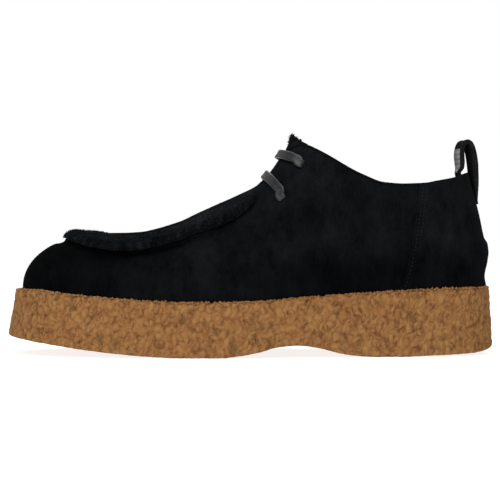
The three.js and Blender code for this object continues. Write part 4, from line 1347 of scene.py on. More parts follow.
@dataclass(frozen=True)
class Apron:
    """The apron's outline on the last; millimetres."""

    front: float = 29.6
    rounding: float = 44.0
    half_width: float = 35.0
    squareness: float = 2.3
    probe: float = 0.02

    def half(self, x: Array) -> Array:
        """Half its width at x."""
        u = np.clip((LAST.toe + self.front + self.rounding - x) / self.rounding, 0, 1)
        rounded = (1 - u**self.squareness) ** (1 / self.squareness)
        return self.half_width * APRON.read("half", LAST.share(x)) * rounded

    def angle(self, side: Array, t: Array) -> Array:
        """Angle up the section at which the wall crosses its outline."""
        foot, apex = LAST.point(side, t, 0.0 * t), LAST.point(side, t, 0.0 * t + 1)

        def inside(share: Array) -> Array:
            x = apex[:, 0] + (foot[:, 0] - apex[:, 0]) * share
            y = apex[:, 1] + (foot[:, 1] - apex[:, 1]) * share
            return (x > LAST.toe + self.front) & (np.abs(y - LAST.spine(x)) < self.half(x))

        low = narrow(np.zeros_like(t), np.ones_like(t), inside)[0]
        return np.arccos(low ** (LAST.power(t) / 2))

    def pace(self, side: Array | float, t: Array, angle: Array, grow: float = 0.0) -> Array:
        """Distance up the wall for each radian of angle."""
        below, above = (
            LAST.point(side, t, LAST.turned(t, np.maximum(angle + step, 0)), grow)
            for step in (-self.probe, self.probe)
        )
        return np.linalg.norm(above - below, axis=1) / (2 * self.probe)

    def offset(self, side: float, t: Array, angle: Array) -> Array:
        """Distance up the section from its outline, below it less than 0."""
        keys, where = np.unique(t, return_inverse=True)
        centre = self.angle(np.full_like(keys, side), keys)
        return (angle - centre[where]) * self.pace(side, keys, centre)[where]


OUTLINE = Apron()


@dataclass
class ApronSeam:
    """The raised seam around the apron, gathered by hand, its cut edge ragged with hair."""

    width: float = 9.6
    height: float = 3.9
    lean: float = 0.8
    line: float = 0.4
    back: float = 142.5
    columns: int = 560
    crown: int = 30
    under: int = 6
    gather: float = 6.2

    def centre(self, u: Array) -> tuple[Array, Array, Array]:
        """Side, station and angle at signed stations u."""
        side, t = np.where(u < 0, -1.0, 1.0), np.abs(u)
        return side, t, OUTLINE.angle(side, t)

    def even(self, count: int) -> Array:
        """Signed stations spaced evenly along the seam."""
        end = float(LAST.station(self.back))
        u = np.linspace(-end, end, 1201)
        side, t, angle = self.centre(u)
        run = run_along(LAST.point(side, t, LAST.turned(t, angle)))
        return np.interp(np.linspace(0, run[-1], count), run, u)

    def surface(self, u: Array, v: Array, raised: Array, grow: Array, shift: Array) -> Array:
        """Points over the seam.

        Args:
            u: signed stations.
            v: share of the way across, from its lower edge to the apron.
            raised: share of the section's height.
            grow: further distance outwards, in millimetres.
            shift: further distance towards the apron, in millimetres.

        Returns:
            The points.
        """
        keys, where = np.unique(u, return_inverse=True)
        side, t, centre = self.centre(keys)
        pace = OUTLINE.pace(side, t, centre, 0.3)
        side, t, centre, pace = side[where], t[where], centre[where], pace[where]
        run = self.height * SEAM_RUN.read("height", LAST.share(LAST.station_x(t)))
        height = raised * run * SEAM_SECTION.read("height", v)
        lean = self.lean * (0.2 + 0.8 * smoothstep(t, 0.0, 0.14))
        across = (v - self.line) * self.width - lean * height / self.height + shift
        angle = np.clip(centre + across / pace, 0.0, np.pi / 2)
        return LAST.point(side, t, LAST.turned(t, angle), 0.05 + height + grow)

    def stand(self, u: Array, v: Array, raised: Array, sink: float) -> tuple[Array, Array]:
        """Roots at a depth under the surface, and directions out of it."""
        zero = u * 0
        roots = self.surface(u, v, raised, zero - sink, zero)
        return roots, unit(self.surface(u, v, raised, zero + 1.0, zero) - roots)

    def build(self, finish: bpy.types.Material) -> bpy.types.Object:
        """Makes the seam.

        Args:
            finish: hair-on leather.

        Returns:
            The seam.
        """
        u = self.even(self.columns)
        around = self.crown + self.under
        v = np.concatenate(
            (np.linspace(0, 1, self.crown + 1)[:-1], np.linspace(1, 0, self.under + 1)[:-1])
        )
        raised = np.concatenate((np.ones(self.crown), np.zeros(self.under)))
        raised[0] = 0.5
        uu, vv = np.repeat(u, around), np.tile(v, self.columns)
        rr = np.tile(raised, self.columns)
        flat = self.surface(uu, vv, rr, uu * 0, uu * 0)
        along = np.repeat(np.linspace(0, self.columns * 0.5, self.columns), around)
        lump = ripple(flat, self.gather, 21)
        tuft = ripple(flat, 2.1, 22)
        fibre = ripple(flat, 0.9, 23)
        pleat = np.sin(along * 2 * np.pi / self.gather + 2.5 * ripple(flat, 18.0, 24))
        edge = 1 - smoothstep(vv, 0.55, 1.0)
        grow = (0.5 * lump + 0.3 * tuft + 0.18 * fibre + 0.24 * pleat) * rr * edge
        lower = np.clip(1 - vv * 1.7, 0, 1) * (0.15 + 0.85 * smoothstep(np.abs(uu), 0.0, 0.13))
        shift = (-2.1 * lump - 1.1 * tuft - 0.5 * pleat) * lower * rr
        points = self.surface(uu, vv, rr, grow, shift)
        seam = tube("apron_seam_dressed", points.reshape(self.columns, around, 3))
        return fitted(seam, Slot.HAIR, [finish], "apron_seam")


@dataclass
class HeelPanel:
    """The back panel, lapped over the quarters from its slanted edge round the heel."""

    foot: float = 226.6
    head: float = 241.0
    sweep: float = 0.6
    thickness: float = 1.2
    columns: int = 110
    rows: int = 84

    def edge_x(self, z: Array) -> Array:
        """x of its front edge at a height."""
        low = LAST.sole_top(LAST.toe + self.foot)
        high = LAST.collar(LAST.toe + self.head)
        share = np.clip((z - low) / (high - low), 0, None)
        return LAST.toe + self.foot + (self.head - self.foot) * share**self.sweep

    def edge_station(self, side: float, v: Array, off: float = 0.0) -> Array:
        """Stations of its front edge, or of a line a distance behind it."""

        def before(t: Array) -> Array:
            place = self.place(side, t, v, 0.0)
            return place[:, 0] < self.edge_x(place[:, 2]) + off

        first = np.full_like(v, float(LAST.station(self.foot - 14.0)))
        last = np.full_like(v, float(LAST.station(self.head + 24.0)))
        low, high = narrow(first, last, before, 36)
        return (low + high) / 2

    def place(self, side: float, t: Array, v: Array, grow: Array | float) -> Array:
        """Points; v runs from the sole to the collar."""
        top = LAST.top_angle(side, t, self.thickness + LAST.gap)
        return LAST.point(side, t, LAST.turned(t, v * top), grow)

    def half(self, side: Side) -> bpy.types.Object:
        """One side of the panel."""
        s = float(side.value)
        piece, u, v = blank("panel_" + side.name.lower(), self.columns, self.rows)
        rows = np.linspace(0, 1, self.rows + 1)
        start = np.interp(v, rows, self.edge_station(s, rows))
        t = start + (1 - start) * (1 - (1 - u) ** 1.15)
        lap = self.thickness + LAST.gap
        flat = self.place(s, t, v, lap)
        soft = ripple(flat, 20.0, 31) * 0.3 + ripple(flat, 7.0, 32) * 0.12
        behind = flat[:, 0] - self.edge_x(flat[:, 2])
        edge = smoothstep(behind, 0.0, 1.6)
        ditch = np.exp(-(((behind - 2.4) / 0.7) ** 2)) * 0.35
        keep = smoothstep(1 - u, 0.0, 0.06)
        grow = lap - 0.45 * (1 - edge) - ditch + soft * edge * keep
        wrap(piece, self.place(s, t, v, grow))
        # Painted shade from the same spots as the upper.
        mark(piece, "painted_shade", painted_shade_of(flat))
        return piece

    def build(self, finish: bpy.types.Material) -> bpy.types.Object:
        """Makes the panel.

        Args:
            finish: hair-on leather.

        Returns:
            The panel.
        """
        panel = join("heel_panel_dressed", [self.half(side) for side in Side])
        close(panel)
        thicken(panel, self.thickness + 0.1)
        return fitted(panel, Slot.HAIR, [finish], "heel_panel")


@dataclass
class Tongue:
    """The end of the apron under the flaps, with a raw, hairy top edge."""

    front: float = 134.0
    half_width: float = 19.0
    thickness: float = 2.0
    curl: float = 3.6
    back: float = 165.4
    up: float = 93.2
    lean: float = 55.0
    columns: int = 90
    rows: int = 72

    def place(self, t: Array, across: Array, depth: Array | float) -> Array:
        """Points of the tongue at stations and distances across."""
        x = LAST.station_x(t)
        side = np.where(across < 0, -1.0, 1.0)
        reach = np.abs(LAST.outline(side, x) - LAST.spine(x))
        power = LAST.power(t)
        rise = np.clip(1 - (np.abs(across) / reach) ** power, 0, 1) ** (1 / power)
        free = 1 - smoothstep(np.abs(across), 3.0, LAST.throat_half_width)
        past = smoothstep(x - LAST.toe, self.back - 7, self.back + 3)
        grow = self.curl * free * past - LAST.wall - LAST.gap - depth
        return LAST.point(side, t, rise, grow)

    def top_station(self, across: Array, depth: float) -> Array:
        """Stations of its cut top edge."""
        a = math.radians(self.lean)
        origin = np.array((LAST.toe + self.back, LAST.heel_thickness + self.up))

        def before(t: Array) -> Array:
            place = self.place(t, across, depth)[:, [0, 2]] - origin
            return place[:, 0] * math.cos(a) + place[:, 1] * math.sin(a) < 0

        first = np.full_like(across, float(LAST.station(self.front)))
        last = np.full_like(across, float(LAST.station(self.front + 46.0)))
        low, high = narrow(first, last, before, 36)
        return (low + high) / 2

    def build(self, finish: bpy.types.Material, lining: bpy.types.Material) -> bpy.types.Object:
        """Makes the tongue.

        Args:
            finish: hair-on leather.
            lining: its underside.

        Returns:
            The tongue.
        """
        piece, u, v = blank("tongue_dressed", self.columns, self.rows)
        across = (2 * v - 1) * self.half_width
        start = float(LAST.station(self.front))
        rows = np.linspace(-self.half_width, self.half_width, self.rows + 1)
        end = np.interp(across, rows, self.top_station(rows, 0.0))
        ragged = ripple(np.stack((across, across * 0, across * 0), axis=1), 2.2, 41)
        t = start + (end - start) * u * (1 + 0.03 * ragged * smoothstep(u, 0.7, 1.0))
        flat = self.place(t, across, 0.0)
        depth = -0.25 * ripple(flat, 2.4, 42) * smoothstep(u, 0.6, 1.0)
        wrap(piece, self.place(t, across, depth))
        # Painted shade: the whole tongue is darkened evenly.
        mark(piece, "painted_shade", np.full(len(u), 0.6))
        close(piece)
        thicken(piece, self.thickness - 0.2, inner=1)
        return fitted(piece, Slot.HAIR, [finish, lining], "tongue")


@dataclass
class Footbed:
    """The leather footbed inside, a little dished."""

    thickness: float = 4.0
    columns: int = 120
    rows: int = 28

    def build(self, finish: bpy.types.Material) -> bpy.types.Object:
        """Makes the footbed.

        Args:
            finish: lining leather.

        Returns:
            The footbed.
        """
        margin = LAST.wall + 2 * LAST.gap
        piece, u, v = blank("footbed", self.columns, self.rows)
        first = float(LAST.station(margin * 2))
        t = first + (1 - 2 * first) * u
        x = LAST.station_x(t)
        ends = []
        for side in (-1.0, 1.0):
            nx, ny = LAST.normal(side, t)
            ends.append(np.stack((x - nx * margin, LAST.outline(side, x) - ny * margin), axis=1))
        flat = ends[0] * (1 - v[:, None]) + ends[1] * v[:, None]
        dish = -0.9 * np.sin(np.pi * v) * np.sin(np.pi * u)
        worn = 0.25 * ripple(np.column_stack((flat, v * 0)), 25.0, 51)
        z = LAST.sole_top(x) + LAST.gap + self.thickness + (dish + worn * np.sin(np.pi * v))
        wrap(piece, np.column_stack((flat, z)))
        close(piece)
        thicken(piece, self.thickness - 0.9)
        return fitted(piece, Slot.LINING, [finish], "insole")


@dataclass
class CollarBinding:
    """Thin smooth leather folded over the collar's edge, from one flap round to the other."""

    width: float = 2.7
    above: float = 0.4
    below: float = 1.2
    start: float = 160.4
    count: int = 330

    def path(self, side: float) -> tuple[Array, Array]:
        """Places along the edge on one side and directions up the wall there."""
        t = np.linspace(float(LAST.station(self.start)), 1.0, self.count)
        top = LAST.edge_rise(side, t)
        middle = -LAST.wall / 2
        places = LAST.point(side, t, top, middle)
        up = LAST.point(side, t, top, middle) - LAST.point(side, t, top - 0.02, middle)
        return places, unit(up)

    def build(self, finish: bpy.types.Material) -> bpy.types.Object:
        """Makes the binding.

        Args:
            finish: smooth leather.

        Returns:
            The binding.
        """
        outer, outer_up = self.path(-1.0)
        inner, inner_up = self.path(1.0)
        places = np.vstack((outer, inner[-2::-1]))
        ups = np.vstack((outer_up, inner_up[-2::-1]))
        run = run_along(places)
        even = np.linspace(0, run[-1], 620)
        places, ups = rows_at(even, run, places), rows_at(even, run, ups)
        for _ in range(6):
            ups[1:-1] = (ups[:-2] + 2 * ups[1:-1] + ups[2:]) / 4
        ups = unit(ups)
        across = unit(np.cross(ups, unit(np.gradient(places, axis=0))))
        half = self.width / 2
        section = [(half, -self.below), (half, -0.2)]
        for turn in (0, 30, 60, 90, 120, 150, 180):
            a = math.radians(turn)
            section.append((half * math.cos(a), self.above * math.sin(a)))
        section += [(-half, -0.2), (-half, -self.below)]
        wave = 0.08 * np.array([noise.noise(Vector((s / 4.0, 0.0, 7.0))) for s in even])
        rings = np.stack(
            [places + across * (a + np.sign(a) * wave[:, None]) + ups * b for a, b in section],
            axis=1,
        )
        piece = tube("collar_binding", rings)
        return fitted(piece, Slot.STRAP, [finish])


# Lace and loop


@dataclass(frozen=True)
class Eyelet:
    """A punched hole: back from the toe, height above the sole's ball, and how far a bar runs on."""

    name: str
    back: float
    up: float
    forward: float


LOWER = Eyelet("lower", 159.5, 62.6, 11.0)
UPPER = Eyelet("upper", 171.0, 82.8, 14.2)


@dataclass
class LaceBar:
    """One flat leather lace bar over the throat, its ends down through the eyelets."""

    eyelet: Eyelet
    width: float = 5.9
    thickness: float = 1.6
    end_width: float = 4.6
    end_length: float = 1.2
    lift: float = 0.5
    samples: int = 96

    def over(self, side: float, share: float, grow: float) -> Array:
        """Place over the leather, from the eyelet at 0 to the ridge at 1."""
        eye = self.eyelet
        t = LAST.station(eye.back - eye.forward * share)
        low = LAST.ball_thickness + eye.up
        high = float(LAST.ridge_height(LAST.toe + eye.back - eye.forward))
        rise = 1.0 if share >= 1 else LAST.rise_at(t, low + (high - low) * share)
        return LAST.point(side, np.array(float(t)), np.array(float(rise)), grow)

    def out(self, side: float, share: float) -> Array:
        """Direction out of the leather under the bar."""
        eye, step = self.eyelet, 1e-3
        if share >= 1 - step:
            x = LAST.toe + eye.back - eye.forward
            slope = float(LAST.ridge_height(x + 1) - LAST.ridge_height(x - 1))
            return unit(np.array((-slope, 0.0, 2.0)))
        t = float(LAST.station(eye.back - eye.forward * share))
        here = self.over(side, share, 0.0)
        rise = float(LAST.rise_at(np.array(t), here[2]))
        along = LAST.point(side, np.array(t + step), np.array(rise)) - here
        up = LAST.point(side, np.array(t), np.array(rise + step)) - here
        return -side * unit(np.cross(along, up))

    def half(self, side: float) -> list[tuple[Array, Array, float]]:
        """Places, outward directions and widths from inside an eyelet up to the ridge."""
        lift = self.lift + self.thickness / 2
        hole, out = self.over(side, 0, -LAST.wall / 2), self.out(side, 0)
        steps = [math.sin(math.radians(turn)) for turn in (10, 20, 32, 44, 56, 68, 79, 90)]
        inward = unit(self.over(side, steps[0], 0) - self.over(side, 0, 0))
        deep = LAST.wall / 2
        rows = [
            (hole - out * (deep + self.end_length) + inward * 0.4, -inward, self.end_width),
            (hole, -inward, self.end_width),
            (hole + out * (deep + lift / 2) - inward * 0.3, out - inward, self.width * 0.93),
            (hole + out * (deep + lift) + inward * 2.2, out, self.width),
        ]
        rows += [(self.over(side, s, lift), self.out(side, s), self.width) for s in steps]
        return rows

    def build(self, finish: bpy.types.Material) -> bpy.types.Object:
        """Makes the bar.

        Args:
            finish: lace leather.

        Returns:
            The bar.
        """
        rows = self.half(-1.0) + self.half(1.0)[-2::-1]
        at = np.linspace(0, 1, self.samples)
        places, ahead = curve_through(np.array([row[0] for row in rows]), at)
        whole = at * (len(rows) - 1)
        index = np.arange(len(rows))
        width = np.interp(whole, index, [row[2] for row in rows])
        out = rows_at(whole, index, np.array([row[1] for row in rows]))
        out = unit(out - ahead * np.sum(out * ahead, axis=1, keepdims=True))
        wide = np.cross(ahead, out)
        section = (
            (-0.5, -0.12), (-0.46, -0.4), (-0.36, -0.5), (-0.1, -0.46), (0.0, -0.38),
            (0.1, -0.46), (0.36, -0.5), (0.46, -0.4), (0.5, -0.12), (0.5, 0.14), (0.46, 0.4),
            (0.36, 0.52), (0.16, 0.46), (0.0, 0.42), (-0.16, 0.46), (-0.36, 0.52), (-0.46, 0.4),
            (-0.5, 0.14),
        )
        curl = np.array([noise.noise(Vector((u * 9.0, 3.0, self.eyelet.up))) for u in at])
        rings = []
        for a, b in section:
            edge = 1 + 0.06 * curl * np.sign(a)
            rings.append(
                places + wide * (a * width * edge)[:, None] + out * (b * self.thickness)
            )
        piece = tube("lace_bar_" + self.eyelet.name + "_dressed", np.stack(rings, axis=1))
        changed(piece, "SUBSURF", levels=1, render_levels=1)
        return fitted(piece, Slot.LACE, [finish], "lace_bar_" + self.eyelet.name)


def punch(upper: bpy.types.Object, bars: Sequence[LaceBar]) -> None:
    """Cuts the oval eyelets through the upper where the bars' ends go in.

    Args:
        upper: the finished skin.
        bars: the lace bars.
    """
    turns = np.radians(np.arange(0, 360, 15))[:, None]
    cutters = []
    for bar in bars:
        for side in (-1.0, 1.0):
            hole, out = bar.over(side, 0, -LAST.wall / 2), bar.out(side, 0)
            inward = bar.over(side, 0.17, 0) - bar.over(side, 0, 0)
            inward = unit(inward - out * np.dot(inward, out))
            wide = np.cross(out, inward)
            oval = wide * np.cos(turns) * (bar.end_width / 2 + 0.8)
            oval = oval + inward * np.sin(turns) * (bar.thickness / 2 + 0.7)
            rings = np.stack([hole + out * deep + oval for deep in (-4.0, 4.0)])
            cutters.append(tube("eyelet_" + bar.eyelet.name, rings))
    cutter = join("eyelets", cutters)
    changed(upper, "BOOLEAN", object=cutter, operation="DIFFERENCE", solver="EXACT")
    bpy.data.objects.remove(cutter)


@dataclass
class PullLoop:
    """The folded strap over the back of the collar, two plies sewn together."""

    width: float = 13.0
    thickness: float = 2.4
    rise: float = 20.4
    depth: float = 12.7
    outer_leg: float = 19.0
    sewn: float = 3.0
    inner_leg: float = 9.0
    twist: float = -13.0
    foot_tuck: float = 0.55
    skive: float = 0.12
    samples: int = 180
    bend: tuple[tuple[float, float, float], ...] = (
        (0.828, -0.45, 0.4),
        (0.765, -0.17, 0.9),
        (0.7, 0.28, 1.2),
        (0.64, 0.547, 1.2),
        (0.57, 0.754, 1.1),
        (0.49, 0.88, 1.0),
        (0.385, 0.94, 0.9),
        (0.24, 0.925, 0.9),
        (0.14, 0.838, 0.9),
        (0.08, 0.69, 0.95),
        (0.065, 0.534, 1.0),
        (0.09, 0.33, 0.95),
        (0.105, 0.155, 0.6),
    )
    top: float = field(init=False)
    path: list[tuple[float, float, float, float]] = field(init=False)

    def __post_init__(self) -> None:
        """Lays out the strap's middle line as x, height, turn and distance from the wall."""
        self.top = float(LAST.collar(LAST.heel - LAST.heel_fan / 3))
        half = self.thickness / 2
        outside, inside = LAST.gap + 1.2 + 0.6 + half, -LAST.wall - 1.05 - half
        back = float(LAST.heel_x(0, self.top - self.outer_leg, outside))
        foot, tuck = self.top - self.outer_leg, self.foot_tuck
        self.path = [
            (float(LAST.heel_x(0, z, out)), z, 0.0, out)
            for z, out in ((foot, outside - tuck), (foot + self.sewn, outside - tuck / 2))
        ]
        for share, up, turn in self.bend:
            grow = outside if share > 0.5 else inside
            x = back - self.depth * (1 - share)
            self.path.append((x, self.top + self.rise * up, turn, grow))
        for k in range(4):
            z = self.top + LAST.gap - self.inner_leg * k / 3
            self.path.append((float(LAST.heel_x(0, z, inside)), z, 0.0, inside))

    def strap(self, at: Array, across: Array, offset: Array) -> Array:
        """Points of the strap.

        Args:
            at: shares of the way along.
            across: millimetres from its middle line.
            offset: millimetres out of its middle layer.

        Returns:
            One row of points for each place along.
        """
        line = np.array([(x, 0.0, z) for x, z, _, _ in self.path])
        places, ahead = curve_through(line, at)
        whole = at * (len(self.path) - 1)
        index = np.arange(len(self.path))
        turn = np.interp(whole, index, [row[2] for row in self.path])
        angle = np.radians(self.twist * turn)
        below = np.minimum(whole.astype(int), len(self.path) - 2)
        grow = np.array([row[3] for row in self.path])[below][:, None]
        level = np.minimum(places[:, 2], self.top)[:, None]
        bow = LAST.heel_x(across[None], level, grow) - LAST.heel_x(0.0, level, grow)
        thinned = 1.6 * np.clip(at / self.skive, 0, 1)[:, None] - 0.6
        layer = np.where(offset[None] > 0, offset[None] * thinned, offset[None])
        x = places[:, :1] + ahead[:, 2:] * layer + bow * (1 - turn[:, None])
        x = x + across[None] * np.sin(angle)[:, None]
        y = across[None] * np.cos(angle)[:, None]
        z = places[:, 2:] - ahead[:, :1] * layer
        return np.stack((x, y, z), axis=-1)

    def build(
        self, finish: bpy.types.Material, tape: bpy.types.Material, thread: bpy.types.Material
    ) -> None:
        """Makes the strap, its tape and its stitches.

        Args:
            finish: strap leather.
            tape: the woven tape inside its fold.
            thread: sewing thread.
        """
        w, h = self.width / 2, self.thickness / 2
        section = (
            (-w, -0.06), (-w + 0.05, -h * 0.55), (-w + 0.45, -h), (0.0, -h), (w - 0.45, -h),
            (w - 0.05, -h * 0.55), (w, -0.06), (w - 0.22, 0.0), (w, 0.06), (w - 0.05, h * 0.55),
            (w - 0.45, h), (0.0, h), (-w + 0.45, h), (-w + 0.05, h * 0.55), (-w, 0.06),
            (-w + 0.22, 0.0),
        )
        at = np.linspace(0, 1, self.samples)
        rings = self.strap(at, np.array([a for a, _ in section]), np.array([b for _, b in section]))
        loop = tube("pull_loop_dressed", rings)
        fitted(loop, Slot.STRAP, [finish], "pull_loop")
        patch = np.array(((-4.6, h - 0.1), (-4.7, h + 0.3), (4.7, h + 0.3), (4.6, h - 0.1)))
        rings = self.strap(np.linspace(0.6, 0.835, 40), patch[:, 0], patch[:, 1])
        label = tube("loop_tape", rings)
        fitted(label, Slot.STRAP, [tape])
        marks = []
        for across in (-w + 1.5, w - 1.5):
            line = np.linspace(0.1, 0.93, 34)
            ring = self.strap(line, np.array((across,)), np.array((h + 0.02,)))[:, 0]
            marks.append(ring)
        sew("loop_stitches", marks, thread, 1.5, 0.38)


def sew(
    name: str, lines: Sequence[Array], thread: bpy.types.Material, length: float, width: float
) -> bpy.types.Object:
    """Stitches along lines of places, one stitch at each place.

    Args:
        name: the piece's name.
        lines: rows of places in millimetres.
        thread: the thread's finish.
        length: of one stitch.
        width: of the thread.

    Returns:
        All the stitches as one piece.
    """
    model = made(bpy.ops.mesh.primitive_uv_sphere_add, segments=6, ring_count=5, radius=0.5)
    edit(model, lambda: bpy.ops.transform.rotate(
        value=math.pi / 2, orient_axis="Y", center_override=(0, 0, 0)))
    stitch = read(model, "co") * (length, width, width)
    bm = bmesh.new()
    bm.from_mesh(model.data)
    bmesh.ops.triangulate(bm, faces=bm.faces)
    faces = np.array([[v.index for v in f.verts] for f in bm.faces])
    bm.free()
    bpy.data.objects.remove(model)
    places = np.vstack(lines)
    ahead = unit(np.vstack([np.gradient(line, axis=0) for line in lines]))
    wide = unit(np.cross(ahead, (0.0, 0.3, 1.0)))
    turned = np.stack((ahead, wide, np.cross(ahead, wide)), axis=1)
    piece = copies(name, places[:, None] + stitch @ turned, faces)
    edit(piece, lambda: bpy.ops.mesh.normals_make_consistent(inside=False))
    return fitted(piece, Slot.STRAP, [thread])


# Hair


@dataclass
class Hair:
    """Short tapering tufts standing on given roots."""

    name: str
    length: float
    width: float
    spread: float
    seed: int

    def grow(
        self, roots: Array, ahead: Array, finish: bpy.types.Material, scale: Array | None = None
    ) -> bpy.types.Object:
        """Makes the tufts.

        Args:
            roots: places in millimetres.
            ahead: directions in which they lie.
            finish: the hair's finish.
            scale: share of the full length of each.

        Returns:
            All the tufts as one piece.
        """
        rng = np.random.default_rng(self.seed)
        count = len(roots)
        ahead = unit(ahead + rng.normal(0, self.spread, (count, 3)))
        size = self.length * rng.uniform(0.5, 1.15, count) * (1 if scale is None else scale)
        side = unit(np.cross(ahead, rng.normal(0, 1, (count, 3))))
        other = np.cross(ahead, side)
        bend = side * rng.normal(0, 0.22, (count, 1)) * size[:, None]
        points = np.empty((count, 7, 3))
        for k in range(3):
            a = 2 * math.pi * k / 3
            round_ = side * math.cos(a) + other * math.sin(a)
            points[:, k] = roots + round_ * self.width / 2
            middle = roots + ahead * size[:, None] * 0.55 + bend * 0.4
            points[:, 3 + k] = middle + round_ * self.width * 0.36
        points[:, 6] = roots + ahead * size[:, None] + bend
        faces = [(0, 2, 1)]
        for k, n in ((0, 1), (1, 2), (2, 0)):
            faces += [(k, n, 3 + n), (k, 3 + n, 3 + k)]
        faces += [(3 + k, 3 + (k + 1) % 3, 6) for k in range(3)]
        piece = copies(self.name, points, np.array(faces))
        edit(piece, lambda: bpy.ops.mesh.normals_make_consistent(inside=False))
        return fitted(piece, Slot.HAIR, [finish])


def scattered(seam: ApronSeam, rng: np.random.Generator, count: int) -> Array:
    """Signed stations scattered evenly along the seam."""
    return np.interp(rng.uniform(0, 1, count), np.linspace(0, 1, 2000), seam.even(2000))


def hair_on_seam(seam: ApronSeam, finish: bpy.types.Material) -> None:
    """Tufts along the apron seam, mostly on its crest and lower edge."""
    rng = np.random.default_rng(5)
    count, sink = 15000, 0.1
    u = scattered(seam, rng, count)
    v = np.clip(rng.beta(1.15, 1.5, count) * 1.25, 0.02, 1.25)
    raised = (v < 1).astype(float)
    roots, out = seam.stand(u, v, raised, sink)
    down = unit(seam.surface(u, v, raised, u * 0 - sink, u * 0 - 1.0) - roots)
    low = np.clip(1.0 - 1.5 * v, 0.0, 1.0)[:, None]
    back = np.array((0.45, 0.0, 0.0))
    Hair("seam_hair", 1.9, 0.4, 0.36, 6).grow(roots, out * 0.6 + down * low * 0.9 + back, finish)


def hair_on_apron(seam: ApronSeam, finish: bpy.types.Material) -> None:
    """Shorter tufts on the apron beside the seam, brushed back."""
    rng = np.random.default_rng(15)
    count = 9000
    u = scattered(seam, rng, count)
    v = 0.95 + 1.5 * rng.uniform(0, 1, count) ** 1.3
    roots, out = seam.stand(u, v, u * 0, 0.15)
    back = np.array((0.9, 0.0, 0.0))
    # The tufts carry the apron's painted highlight.
    Hair("apron_hair_painted_highlight", 1.5, 0.36, 0.3, 16).grow(roots, out * 0.45 + back, finish)


def hair_on_tongue(tongue: Tongue, finish: bpy.types.Material) -> None:
    """Tufts along the tongue's top edge and on its free face."""
    rng = np.random.default_rng(8)
    count, reach = 1500, 13.5
    rows = np.linspace(-tongue.half_width, tongue.half_width, tongue.rows + 1)
    across = rng.uniform(-reach, reach, count)
    end = np.interp(across, rows, tongue.top_station(rows, 0.0))
    t = end - rng.uniform(0, 0.004, count)
    depth = rng.uniform(0.0, tongue.thickness - 0.4, count)
    roots = tongue.place(t, across, depth)
    ahead = unit(roots - tongue.place(t - 0.01, across, depth))
    free = np.clip(1.15 - np.abs(across) / reach, 0.25, 1.0)
    Hair("tongue_hair", 2.6, 0.4, 0.5, 9).grow(roots, ahead, finish, free)


# Studio


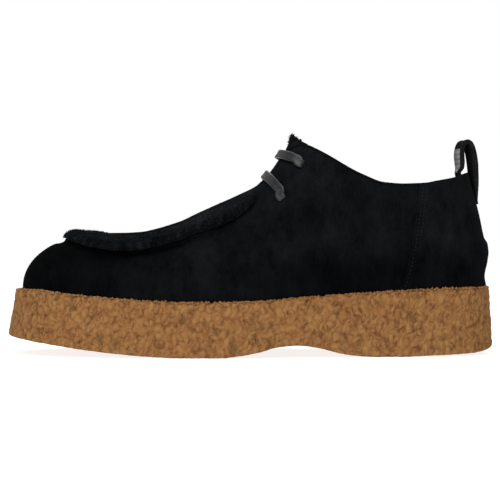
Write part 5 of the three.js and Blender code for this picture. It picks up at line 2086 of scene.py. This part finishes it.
@dataclass
class Studio:
    """Plain pale floor, soft light and the camera."""

    distance: float = 1.0
    eye: float = 0.063
    field_of_view: float = 0.3075
    ambient: float = 0.4

    def floor(self) -> None:
        """Lays the floor."""
        floor = made(bpy.ops.mesh.primitive_plane_add, size=14.0, location=(0, 0, -0.0002))
        floor.name = "floor"
        s = Shader("floor")
        s.finish((0.5, 0.5, 0.5, 1.0), 0.9, 0.0)
        s.surface.inputs["Emission Color"].default_value = (1.0, 1.0, 1.0, 1.0)
        s.surface.inputs["Emission Strength"].default_value = 0.82
        floor.data.materials.append(s.material)

    def light(self, name: str, place: tuple, size: float, power: float) -> None:
        """Hangs one soft light that points at the shoe."""
        lamp = made(bpy.ops.object.light_add, type="AREA", location=place)
        lamp.name = name
        lamp.data.size = size
        lamp.data.energy = power
        aim = Vector((0, 0, 0.05)) - Vector(place)
        lamp.rotation_euler = aim.to_track_quat("-Z", "Y").to_euler()

    def build(self) -> None:
        """Sets up floor, world, lights, camera and film look."""
        self.floor()
        world = bpy.data.worlds.new("studio")
        bpy.context.scene.world = world
        world.use_nodes = True
        tree = world.node_tree
        tree.nodes["Background"].inputs["Color"].default_value = (1, 1, 1, 1)
        seen = tree.nodes.new("ShaderNodeLightPath").outputs["Is Camera Ray"]
        level = tree.nodes.new("ShaderNodeMapRange")
        tree.links.new(seen, level.inputs["Value"])
        level.inputs["To Min"].default_value = self.ambient
        level.inputs["To Max"].default_value = 1.0
        tree.links.new(level.outputs[0], tree.nodes["Background"].inputs["Strength"])
        self.light("softbox_above", (-0.1, -0.3, 1.1), 0.9, 11.0)
        self.light("softbox_front", (-0.3, -1.25, 0.7), 0.8, 7.0)
        self.light("softbox_back", (0.1, 0.9, 0.85), 0.8, 3.5)
        place = (0.0, -self.distance, self.eye)
        camera = made(bpy.ops.object.camera_add, location=place, rotation=(math.pi / 2, 0, 0))
        camera.name = "camera"
        camera.data.sensor_width = 36.0
        camera.data.lens = 36.0 * self.distance / self.field_of_view
        camera.data.clip_start = 0.01
        bpy.context.scene.camera = camera
        view = bpy.context.scene.view_settings
        view.view_transform = "Standard"
        view.look = "None"
        view.exposure = 0.0
        view.gamma = 1.0


def panel_stitches(panel: HeelPanel, thread: bpy.types.Material) -> None:
    """The rows of stitches behind the heel panel's front edge, on both sides."""
    lines = []
    for side in (-1.0, 1.0):
        for off in (2.4, 4.6):
            v = np.linspace(0.03, 0.955, 400)
            t = panel.edge_station(side, v, off)
            line = panel.place(side, t, v, panel.thickness + LAST.gap - 0.12)
            run = run_along(line)
            lines.append(rows_at(np.arange(0, run[-1], 2.4), run, line))
    sew("panel_stitches", lines, thread, 1.6, 0.4)


def main() -> None:
    """Builds the shoe and its studio."""
    logging.basicConfig(level=logging.INFO, format="%(name)s %(message)s")
    studio = Studio()
    studio.build()
    wardrobe = make_wardrobe()
    sole = CrepeSole()
    sole.build(wardrobe.crepe)
    LedgeCrumbs().build(sole.upper_ledge, wardrobe.crepe)
    upper = Upper().build(wardrobe.hair, wardrobe.binding, wardrobe.lining)
    bars = [LaceBar(eyelet) for eyelet in (LOWER, UPPER)]
    punch(upper, bars)
    fitted(upper, Slot.HAIR, [], "upper")
    seam = ApronSeam()
    seam.build(wardrobe.seam_hair)
    hair_on_seam(seam, wardrobe.seam_hair)
    hair_on_apron(seam, wardrobe.apron_hair_painted_highlight)
    panel = HeelPanel()
    panel.build(wardrobe.hair)
    panel_stitches(panel, wardrobe.thread)
    tongue = Tongue()
    tongue.build(wardrobe.seam_hair, wardrobe.lining)
    hair_on_tongue(tongue, wardrobe.seam_hair)
    Footbed().build(wardrobe.lining)
    CollarBinding().build(wardrobe.binding)
    for bar in bars:
        bar.build(wardrobe.lace)
    PullLoop().build(wardrobe.strap, wardrobe.tape, wardrobe.thread)


if __name__ == "__main__":
    main()
